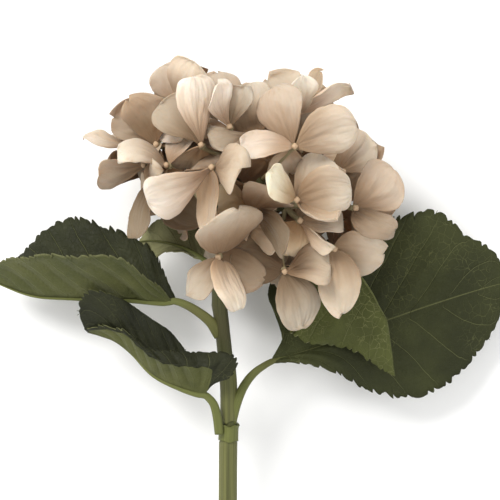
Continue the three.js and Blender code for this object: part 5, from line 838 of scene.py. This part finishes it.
def stem_material(name, pale=0.0, lift=0.0):
    N = Nodes(name)
    v = N.attr("suv").outputs["Vector"]
    L, a, f = N.xyz(v)[:3]
    obj = N.node("ShaderNodeTexCoord").outputs["Object"]
    ang = N.math("MULTIPLY", a, 6.28318)
    ring = N.vec(N.math("COSINE", ang), N.math("SINE", ang), N.math("MULTIPLY", L, 0.10))
    streak = N.noise(N.vmath("MULTIPLY", ring, (7.0, 7.0, 1.0)), 1.6, 4.0)
    fine = N.noise(N.vmath("MULTIPLY", ring, (26.0, 26.0, 3.0)), 1.5, 3.0)
    patch = N.noise(obj, 22.0, 3.0)
    g1, g2, g3 = rgb(86, 88, 48), rgb(62, 65, 34), rgb(104, 104, 62)
    if lift:
        g1, g2, g3 = rgb(104, 108, 55), rgb(84, 89, 44), rgb(124, 126, 72)
    if pale:
        g1, g2, g3 = rgb(150, 138, 104), rgb(122, 110, 78), rgb(172, 158, 126)
    col = N.mix(N.ramp(streak, 0.35, 0.65), g2, g1)
    col = N.mix(N.math("MULTIPLY", N.ramp(fine, 0.5, 0.75), 0.55), col, g3)
    col = N.mix(N.math("MULTIPLY", N.ramp(patch, 0.52, 0.75), 0.45), col, rgb(84, 76, 44) if not pale else rgb(128, 108, 80))
    if not pale and not lift:
        # painted shade of the flower head: the stem's dark olive darkens further towards black near the head
        col = N.mix(N.ramp(L, 5.5, 10.5, 0.30, 0.0), col, (0.0, 0.0, 0.0, 1))
        # below the collar, away from that painted shade, the stem turns to a lighter olive
        low = N.ramp(L, 10.6, 11.9)
        col = N.mix(N.math("MULTIPLY", low, 0.75), col, N.mix(N.ramp(streak, 0.35, 0.65), rgb(86, 87, 46), rgb(113, 113, 66)))
        # painted shade in the groove: a dark line down the lower stem
        groove_shade = N.ramp(N.math("ABSOLUTE", N.math("SUBTRACT", a, N.math("ADD", 0.20, N.math("MULTIPLY", streak, 0.10)))), 0.0, 0.040, 0.55, 0.0)
        col = N.mix(N.math("MULTIPLY", groove_shade, low), col, rgb(50, 52, 27))
    lent = N.noise(N.vmath("MULTIPLY", ring, (9.0, 9.0, 22.0)), 2.0, 2.0)
    col = N.mix(N.math("MULTIPLY", N.ramp(lent, 0.66, 0.74), 0.35), col, rgb(112, 106, 66) if not pale else rgb(170, 152, 122))
    h = N.math("ADD", N.math("MULTIPLY", fine, 0.7), N.math("MULTIPLY", N.noise(obj, 1400.0, 2.0), 0.25))
    N.bump(h, 0.0006, 0.5)
    m = N.finish(col, N.ramp(fine, 0.3, 0.7, 0.42, 0.60, "LINEAR"))
    N.b.inputs["Specular IOR Level"].default_value = 0.28
    return m


def cut_material(name):
    N = Nodes(name)
    obj = N.node("ShaderNodeTexCoord").outputs["Object"]
    r = N.xyz(N.attr("suv").outputs["Vector"])[1]
    col = N.mix(N.ramp(r, 0.45, 0.62), rgb(206, 200, 160), rgb(176, 170, 112))
    col = N.mix(N.ramp(r, 0.80, 0.92), col, rgb(110, 112, 64))
    n = N.noise(obj, 1500.0, 4.0)
    col = N.mix(N.math("MULTIPLY", N.ramp(n, 0.5, 0.7), 0.5), col, rgb(150, 140, 96))
    N.bump(n, 0.0005, 0.7)
    return N.finish(col, 0.7)


def bud_material(name):
    N = Nodes(name)
    v = N.attr("puv").outputs["Vector"]
    h = N.xyz(v)[0]
    obj = N.node("ShaderNodeTexCoord").outputs["Object"]
    n = N.noise(obj, 700.0, 3.0)
    # painted shade: the lower part of the button darkens to brown where it sits down among the petal feet
    col = N.mix(N.ramp(h, 0.0, 0.6), rgb(96, 72, 50), rgb(182, 154, 122))
    col = N.mix(N.math("MULTIPLY", N.ramp(n, 0.45, 0.7), 0.4), col, rgb(140, 110, 80))
    N.bump(n, 0.0004, 0.5)
    m = N.finish(col, 0.55)
    return m


MAT_PETAL = petal_material("petal")
MAT_BUD = bud_material("bud")
MAT_STALK = stem_material("floret_stalk", pale=1.0)
MAT_STEM = stem_material("stem")
MAT_PETIOLE = stem_material("leaf_stalk", lift=1.0)
MAT_CUT = cut_material("cut_end")
MAT_TOP = leaf_material("leaf_top")
MAT_UNDER = leaf_material("leaf_under", under=True)

# sRGB tints of the petals, from pale pink-white to olive brown
PALETTE = {
    "white": (230, 218, 201),
    "pearl": (228, 215, 188),
    "pale": (220, 206, 191),
    "linen": (226, 207, 179),
    "cream": (215, 198, 177),
    "sand": (197, 184, 166),
    "rose": (189, 175, 156),
    "beige": (182, 166, 145),
    "fawn": (178, 163, 145),
    "olive": (166, 154, 136),
    "tan": (158, 139, 116),
    "clay": (147, 131, 111),
    "brown": (135, 121, 100),
    "umber": (122, 110, 92),
}

# ------------------------------------------------------------------ florets ----
pieces = []


def bud_shell(C, A, rng, r=2.0, tall=1.0):
    """Four-lobed button: a lathe-like blob with a cross pressed into its top."""
    X = unit(np.cross(A, [0.31, 0.2, 0.93]))
    Y = np.cross(A, X)
    n, m = 12, 20
    V, H = [], []
    for i in range(n + 1):
        ph = math.pi * i / n
        for k in range(m):
            a = 2 * math.pi * k / m
            lob = 1 + 0.10 * math.cos(4 * a) * math.sin(ph) ** 2
            top = 1 - 0.16 * max(0.0, math.cos(ph)) ** 2 * (1 - abs(math.cos(2 * a)) ** 0.5)
            rr = r * lob * math.sin(ph)
            V.append(C + A * (r * tall * top * math.cos(ph)) + rr * (math.cos(a) * X + math.sin(a) * Y))
            H.append(((1 + math.cos(ph)) / 2, 0, 0))
    F = []
    for i in range(n):
        for k in range(m):
            a, b = i * m + k, i * m + (k + 1) % m
            F.append((a, a + m, b + m, b))
    return np.array(V), F, np.array(H)


def make_floret(f, index):
    name, C, A, K, outer, petals = f
    C, A, K = (np.array(v, float) for v in (C, A, K))
    rng = random.Random(1000 + index)
    bag = Bag()
    for j, q in enumerate(petals):
        tintname, b, ruf, notch = LOOK.get((index, j), (None, 0.5, None, None))
        if tintname is None:
            tintname = rng.choice(["beige", "beige", "tan", "cream", "rose", "pale"] if outer else ["beige", "tan", "brown", "olive"])
            b = rng.choice([0.45, 0.5, 0.5, 0.6])
        ruf = 0.022 if ruf is None else ruf
        notch = 0.0 if notch is None else notch
        P, u, te = petal_grid(q, rng, b=b, ruf=ruf, notch=notch)
        # the foot narrows and runs in to the centre of the floret
        h = C + (P[0, P.shape[1] // 2] - C) * 0.45
        P[0] = h + (P[0] - P[0, P.shape[1] // 2]) * 0.7
        low = P[..., 2].min()
        if low < 0.35:
            P[..., 2] = np.maximum(P[..., 2], 0.35)
        thick = 0.55 - 0.22 * np.clip(u, 0, 1)
        V, F, M = shell(P, thick)
        c = rgb(*PALETTE[tintname])
        a, w = 1 + rng.uniform(-0.04, 0.04), rng.uniform(-0.015, 0.015)
        jit = [a * (1 + w), a, a * (1 - w)]
        tint = np.tile(np.array([c[0] * jit[0], c[1] * jit[1], c[2] * jit[2], 1.0]), (len(V), 1))
        # painted shade: the tint darkens and turns browner towards the middle of the head, where petals lie deep under
        # others
        rho = np.linalg.norm((V - np.array([0.0, 30.0, 60.0])) / np.array([82.0, 68.0, 60.0]), axis=1)
        inner = np.clip((0.86 - rho) / 0.42, 0, 1)[:, None]
        tint[:, :3] *= 1 - inner * np.array([[0.34, 0.44, 0.54]])
        uv = np.stack([u.ravel(), te.ravel(), np.full(u.size, (index * 4 + j) * 1.37)], -1)
        bag.add(V, F, M, tint=tint, puv=np.concatenate([uv, uv]))
    ob = bag.object(name + "_petals", [MAT_PETAL])
    pieces.append((ob, name, [name]))
    # stalk and centre button
    bag = Bag()
    V, F, H = bud_shell(C + 1.5 * A, A, rng, r=1.55, tall=0.95)
    bag.add(V, F, 0, puv=H, suv=np.zeros(3))
    ctl = C - 9 * A
    d = unit(K - ctl)
    pts = bez(C + 0.3 * A, ctl, K - 0.6 * d, 14)
    rad = np.linspace(1.0, 1.15, 15) + 0.9 * np.exp(-np.linspace(0, 1, 15) * 9)
    V, F, S = tube(pts, rad, n=12)
    bag.add(V, F, 1, puv=np.zeros(3), suv=S)
    ob = bag.object(name + "_heart", [MAT_BUD, MAT_STALK])
    pieces.append((ob, name, []))


# --------------------------------------------------------------------- stem ----
def stem_rows():
    p = np.array(STEM, float)
    L = np.concatenate([[0], np.cumsum(np.linalg.norm(np.diff(p[:, :3], axis=0), axis=1))])
    return np.column_stack([L / L[-1], p])


ROWS = stem_rows()
UP = ROWS[9, 0] / 0.615
SLEEVE_SPAN, COLLAR_SPAN = (0.405, 0.565), (0.572, 0.615)


def make_stem():
    bag = Bag()
    n = 210
    s = np.linspace(0, 1, n)
    v = smooth_rows(ROWS, s)
    s9 = ROWS[9, 0]
    r = np.where(s < s9, 3.7, 4.75) + 0.0
    k = np.clip((s - s9 + 0.004) / 0.006, 0, 1)
    r = 3.7 + 1.05 * k
    top = np.clip(s / 0.02, 0, 1)
    r = r * (0.85 + 0.15 * top)
    nodes = 0.35 * np.exp(-((s - 0.135) / 0.006) ** 2) + 0.25 * np.exp(-((s - 0.70) / 0.006) ** 2)
    r = r + nodes
    rng = random.Random(5)
    nz = vnoise(rng, 8)

    def bump(i, a):
        g = 0.09 * math.cos(a * 5 + 0.8 * math.sin(s[i] * 9)) + 0.04 * math.cos(a * 11 + 3 * s[i])
        return g + 0.17 * float(nz(math.cos(a) * 2.0, s[i] * 20.0, 1.6))
    V, F, S = tube(v[:, :3], r, n=56, bump=bump)
    m = [0] * len(F)
    bag.add(V, F, m, suv=S)
    # hub, branches and the swelling at the tip of each
    hub = np.array(HUB, float)
    for j, kn in enumerate(KNOBS):
        kn = np.array(kn, float)
        c = (hub + kn) / 2 + np.array([0, 3, 0])
        pts = bez(hub, c, kn, 16)
        rad = np.linspace(2.3, 1.5, 17)
        rad[-4:] += np.array([0.15, 0.5, 0.8, 0.35])
        V, F, S = tube(pts, rad, n=14)
        bag.add(V, F, 0, suv=S)
    V, F, H = bud_shell(hub, np.array([0, 0, 1.0]), rng, r=4.1)
    bag.add(V, F, 0, suv=H)
    # cut end: pith, ring and skin
    e = v[-1, :3]
    d = unit(v[-1, :3] - v[-3, :3])
    x = unit(np.cross(d, [0, 0, 1.0]))
    y = np.cross(x, d)
    rr = [0, 1.2, 2.2, 2.6, 3.4, 3.9, 4.3, 4.62]
    hh = [0.10, 0.25, 0.35, 0.60, 0.55, 0.60, 0.50, 0.02]
    V, F, S = [e + d * 0.1], [], [(0, 0, 0)]
    m_ = 40
    for q, h in zip(rr[1:], hh[1:]):
        for k in range(m_):
            a = 2 * math.pi * k / m_
            w = 0.06 * math.sin(5 * a + q)
            V.append(e + d * (h + w) + q * (math.cos(a) * x + math.sin(a) * y))
            S.append((0, q / 4.7, 0))
    for k in range(m_):
        F.append((0, 1 + k, 1 + (k + 1) % m_))
    for i in range(len(rr) - 2):
        for k in range(m_):
            a, b = 1 + i * m_ + k, 1 + i * m_ + (k + 1) % m_
            F.append((a, a + m_, b + m_, b))
    base = 1 + (len(rr) - 2) * m_
    V.append(e - d * 0.5); S.append((0, 0, 0))
    for k in range(m_):
        F.append((base + k, len(V) - 1, base + (k + 1) % m_))
    bag.add(V, F, 1, suv=np.array(S))
    ob = bag.object("stem_body", [MAT_STEM, MAT_CUT])
    pieces.append((ob, "main_stem", ["main_stem"]))


def ring_piece(name, span, r_out, flare, seed, node, mat):
    """A thin sheath round the stem with a slightly uneven rim."""
    rng = random.Random(seed)
    nz = vnoise(rng, 6)
    a0, a1 = span[0] * UP, span[1] * UP
    n, m = 44, 64
    s = np.linspace(a0, a1, n)
    v = smooth_rows(ROWS, s)[:, :3]
    V, S = [], []
    for layer in (0, 1):
        for i in range(n):
            d = unit(v[min(i + 1, n - 1)] - v[max(i - 1, 0)])
            x = unit(np.cross(d, [0, 0, 1.0])); y = np.cross(x, d)
            f = i / (n - 1)
            for k in range(m):
                a = 2 * math.pi * k / m
                if layer == 0:
                    r = r_out + flare[0] * math.exp(-f * 14) + flare[1] * math.exp(-(1 - f) * 14)
                    r += 0.14 * float(nz(math.cos(a) * 2.2, math.sin(a) * 2.2 + f * 4, 1.5)) - 0.05 * max(0, math.cos(6 * a)) ** 2
                else:
                    r = 3.78
                shift = 2.2 * float(nz(math.cos(a) * 3, math.sin(a) * 3, 1.7)) * (max(0, 1 - f * 9) + max(0, 1 - (1 - f) * 9))
                V.append(v[i] + r * (math.cos(a) * x + math.sin(a) * y) + d * shift)
                S.append((11.25 + f * 0.9, k / m, f))
    F = []
    K = n * m
    for i in range(n - 1):
        for k in range(m):
            a, b = i * m + k, i * m + (k + 1) % m
            F.append((a, b, b + m, a + m))
            F.append((a + K, a + m + K, b + m + K, b + K))
    for k in range(m):
        b = (k + 1) % m
        F.append((k, k + K, b + K, b))
        e = (n - 1) * m
        F.append((e + k, e + b, e + b + K, e + k + K))
    bag = Bag()
    bag.add(np.array(V), F, 0, suv=np.array(S))
    ob = bag.object(name, [mat])
    pieces.append((ob, node, [node]))


# ------------------------------------------------------------------- leaves ----
LEAF_LOOK = {  # flip: the upper side faces -normal; the lightness value is painted light on the leaf colour, 0 dark as in shade, 1.6 lighter as if lit; teeth in mm; rib count
    "leaf_mid_left": dict(flip=False, painted_light=0.2, teeth=2.5, pitch=5.8, ribs=7.5, bulge=(1.0, 2.2), quilt=1.7),
    "leaf_low_left": dict(flip=False, painted_light=0.1, teeth=1.6, pitch=4.4, ribs=9.0, bulge=(1.2, 1.4), fray=4, quilt=1.3, even=(0.12, 0.72)),
    # leaf_up_left: the paler underside colour on both faces and the highest lightness, painted light on a leaf the head
    # shades
    "leaf_up_left": dict(flip=True, painted_light=1.7, teeth=0.5, pitch=4.4, ribs=5.0, bulge=(0.8, 0.8), quilt=0.4, mats=(1, 1)),
    "leaf_low_right": dict(flip=True, painted_light=0.56, teeth=2.7, pitch=7.4, ribs=7.0, bulge=(2.0, 2.0), sink=0.7, calm=0.38),
    "leaf_up_right": dict(flip=True, painted_light=1.6, teeth=2.1, pitch=5.4, ribs=5.0, bulge=(0.4, 1.6), sink=0.5, quilt=0.5, wave=1.5),
}


def make_leaf(L, index):
    name, mid, pet, rails = L
    o = LEAF_LOOK[name]
    rng = random.Random(300 + index)
    nz = vnoise(rng, 7)
    ns, per = 250, 14
    s = np.linspace(0, 1, ns)
    C = [smooth_rows(r, s) for r in rails]
    nr = len(C)
    cols, tt = [], []
    for k in range(nr - 1):
        for j in range(per):
            f = j / per
            cols.append(C[k] * (1 - f) + C[k + 1] * f)
            tt.append(k + f - mid)
    cols.append(C[-1]); tt.append(nr - 1 - mid)
    g = np.stack(cols, 1)
    tt = np.array(tt, float)
    side = np.sign(tt)
    amax = np.where(tt < 0, mid, nr - 1 - mid)
    at = np.abs(tt) / np.maximum(amax, 1)          # 0 at the midrib, 1 at the margin
    # teeth: saw-like, pointing to the tip, on the outer edges only
    for e, col, inner in ((0, C[0], C[1]), (g.shape[1] - 1, C[-1], C[-2])):
        arc = np.concatenate([[0], np.cumsum(np.linalg.norm(np.diff(col, axis=0), axis=1))])
        jit = 0.35 * np.sin(arc * 0.23 + rng.uniform(0, 6)) + 0.25 * np.sin(arc * 0.61 + rng.uniform(0, 6))
        ph = arc / o["pitch"] + jit
        fr = ph - np.floor(ph)
        saw = np.where(fr < 0.80, 1 - (1 - fr / 0.80) ** 2.3, np.clip((1 - fr) / 0.20, 0, 1) ** 0.9)
        amp = o["teeth"] * np.clip(s * 9, 0, 1) * np.clip((1.02 - s) * 9, 0, 1) * (0.75 + 0.5 * np.abs(np.sin(arc * 0.37)))
        if o.get("calm"):
            amp = amp * np.clip(0.15 + s / o["calm"] * 0.85, 0, 1)
        if e == 0 and o.get("even"):
            amp = amp * (o["even"][0] + 1.5 * np.clip((s - o["even"][1]) * 10, 0, 1))
        outw = col - inner
        outw /= np.maximum(np.linalg.norm(outw, axis=1, keepdims=True), 1e-9)
        tang = np.gradient(col, axis=0)
        tang /= np.maximum(np.linalg.norm(tang, axis=1, keepdims=True), 1e-9)
        out = outw * 0.9 + tang * 0.35
        wgt = at ** 7 * (side == (-1 if e == 0 else 1))
        if nr == 4 and e != 0:
            wgt = np.clip(at * 1.0, 0, 1) ** 7 * (tt > 0)
        g += (amp * (saw - 0.35))[:, None, None] * wgt[None, :, None] * out[:, None, :]
    nn = grid_normals(g)
    width = np.stack([np.linalg.norm(C[0] - C[mid], axis=1), np.linalg.norm(C[-1] - C[mid], axis=1)], 1)
    S2, T2 = np.meshgrid(s, at, indexing="ij")
    lean = 0.30
    p = (S2 * 1.0 - lean * T2 ** 0.85) * o["ribs"] + 0.25 * (np.sign(tt)[None, :] > 0)
    quilt = -np.abs(np.cos(math.pi * p)) ** 0.7 + 0.75
    env = np.clip(T2 * 6, 0, 1) * np.clip((1 - T2) * 3.5, 0, 1) * np.clip(S2 * 6, 0, 1) * np.clip((1 - S2) * 5, 0, 1)
    sgn = -1.0 if o["flip"] else 1.0
    h = sgn * o.get("quilt", 1.0) * (1.0 + 0.7 * np.clip(1 - S2 * 2.6, 0, 1)) * quilt * env
    b = np.where(tt < 0, o["bulge"][0], o["bulge"][1])[None, :]
    h = h + sgn * b * np.sin(math.pi * np.clip(T2, 0, 1)) * np.clip(S2 * 5, 0, 1) * np.clip((1 - S2) * 4, 0, 1) * 0.6
    h = h + 0.9 * nz(S2 * 7, tt[None, :] * 2.5, 1.5) * np.clip(T2 * 3, 0, 1) * np.clip(S2 * 6, 0, 1)
    wav = o.get("wave", 0.9) * np.sin(S2 * 21 + 1.3 * np.sign(tt)[None, :]) * T2 ** 3 * np.clip((1 - S2) * 5, 0, 1) * np.clip(S2 * 5, 0, 1)
    h = h + wav
    h = h - sgn * 0.5 * np.exp(-(T2 / 0.05) ** 2)
    g = g + nn * h[..., None]
    low = g[..., 2].min()
    if low < 0.5:
        g[..., 2] = np.maximum(g[..., 2], 0.5)
    thick = np.full(g.shape[:2], 0.42)
    top_mat, bot_mat = o.get("mats", (1, 0) if o["flip"] else (0, 1))
    V, F, M = shell(g, thick, (top_mat, bot_mat), 1)
    if nr == 4:  # past the rolled rim the dark upper side is outside
        K, m = g.shape[0] * g.shape[1], g.shape[1]
        for q, face in enumerate(F):
            c = sum((v % K) % m for v in face) / len(face)
            if c > 2 * per + 0.4 and M[q] != 2:
                M[q] = 0 if max(face) - min(face) < K else M[q]
    luv = np.stack([S2, np.broadcast_to(tt, S2.shape), np.full(S2.shape, o["painted_light"])], -1).reshape(-1, 3)
    ls = np.stack([p, T2, S2], -1).reshape(-1, 3)
    bag = Bag()
    bag.add(V, F, M, luv=np.concatenate([luv, luv]), lside=np.concatenate([ls, ls]), suv=np.zeros(3))
    # petiole and midrib in one tapering strand
    rows = np.array([[i / (len(pet) - 1), *q] for i, q in enumerate(pet)])
    v = smooth_rows(rows, np.linspace(0, 1, 26))
    back = v[0, :3] - unit(v[1, :3] - v[0, :3]) * 1.0
    under = -nn * sgn
    rib = []
    mid_col = mid * per
    for i in range(3, ns - 7, 7):
        rib.append(g[i, mid_col] + under[i, mid_col] * (0.35 + o.get("sink", 0.0) * min(1.0, i / 22)))
    rib = np.array(rib)
    pts = np.concatenate([[back], v[:, :3], rib])
    # ease the joint between stalk and rib
    for _ in range(3):
        q = pts.copy(); q[18:40] = (pts[17:39] + pts[18:40] * 2 + pts[19:41]) / 4; pts = q
    k = len(rib)
    rx = np.concatenate([[v[0, 3] / 2], v[:, 3] / 2, np.linspace(v[-1, 3] / 2 * 0.85, 0.30, k)])
    ry = np.concatenate([[v[0, 4] / 2], v[:, 4] / 2, np.linspace(v[-1, 4] / 2 * 0.80, 0.28, k)])
    V, F, S = tube(pts, rx, ry, n=16)
    bag.add(V, F, 2, luv=np.zeros(3), lside=np.zeros(3), suv=S)
    # a few frayed threads at the tip and along the margins
    for e, colm in ((0, g[:, 0]), (g.shape[1] - 1, g[:, -1])):
        for _ in range(o.get("fray", 1)):
            i = int((ns - 3) * (1 - abs(rng.gauss(0, 0.10)))) if rng.random() < 0.7 else rng.randrange(ns // 3, ns - 6)
            i = max(3, min(ns - 3, i))
            p0 = colm[i]
            outw = unit(colm[i] - g[i, 3 if e == 0 else -4])
            tan = unit(colm[min(i + 1, ns - 1)] - colm[i - 1])
            ln = rng.uniform(0.9, 2.3)
            d1 = unit(outw + tan * rng.uniform(-0.4, 1.2) + np.array([0, 0, rng.uniform(-0.3, 0.5)]))
            d2 = unit(d1 + np.array([rng.uniform(-.7, .7), rng.uniform(-.7, .7), rng.uniform(-.3, .3)]))
            q = bez(p0 - outw * 0.4, p0 + d1 * ln * 0.6, p0 + d1 * ln * 0.6 + d2 * ln * 0.4, 6)
            q[:, 2] = np.maximum(q[:, 2], 0.4)
            V, F, S = tube(q, np.linspace(0.17, 0.09, 7), n=6)
            bag.add(V, F, 1, luv=np.zeros(3), lside=np.array([0.2, 0.5, 0.5]), suv=S)
    ob = bag.object(name + "_blade", [MAT_TOP, MAT_UNDER, MAT_PETIOLE])
    pieces.append((ob, name, [name]))


for i, f in enumerate(FLORETS):
    make_floret(f, i)
make_stem()
ring_piece("sleeve_skin", SLEEVE_SPAN, 4.50, (0.35, -0.25), 41, "stem_sleeve", MAT_STEM)
ring_piece("collar_skin", COLLAR_SPAN, 5.15, (0.45, 0.05), 42, "stem_collar", MAT_PETIOLE)
for i, L in enumerate(LEAVES):
    make_leaf(L, i)

for ob, node, gone in pieces:
    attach(ob, "root")
    if gone:
        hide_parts(*gone)

# ---------------------------------------------------- floor and light ----
def floor_material():
    N = Nodes("floor")
    m = N.finish(rgb(250, 250, 249), 0.75)
    N.b.inputs["Specular IOR Level"].default_value = 0.15
    return m


me = bpy.data.meshes.new("floor")
R = 4.0
me.from_pydata([(-R, -R, 0), (R, -R, 0), (R, R, 0), (-R, R, 0)], [], [(0, 1, 2, 3)])
me.materials.append(floor_material())
floor = bpy.data.objects.new("floor", me)
scene.collection.objects.link(floor)


def area(name, loc, aim, size, power, color=(1, 1, 1)):
    d = bpy.data.lights.new(name, "AREA")
    d.shape = "DISK"
    d.size = size
    d.energy = power
    d.color = color
    o = bpy.data.objects.new(name, d)
    o.location = loc
    o.rotation_euler = (Vector(aim) - Vector(loc)).to_track_quat("-Z", "Y").to_euler()
    scene.collection.objects.link(o)
    return o


HEADY = (30 + ORIGIN[1]) / 1000
area("key", (-0.72, HEADY + 0.80, 1.15), (0, HEADY, 0.03), 0.80, 24, (1.0, 0.99, 0.98))
area("fill", (0.9, HEADY - 0.25, 1.2), (0, HEADY - 0.05, 0.03), 1.3, 8, (0.985, 0.99, 1.0))
area("low", (-0.6, HEADY - 0.9, 0.8), (0, HEADY - 0.1, 0.03), 1.0, 4, (1.0, 0.99, 0.98))
world = bpy.data.worlds.new("world")
world.use_nodes = True
world.node_tree.nodes["Background"].inputs[0].default_value = (1, 1, 1, 1)
world.node_tree.nodes["Background"].inputs[1].default_value = 0.60
scene.world = world
scene.view_settings.view_transform = "Standard"
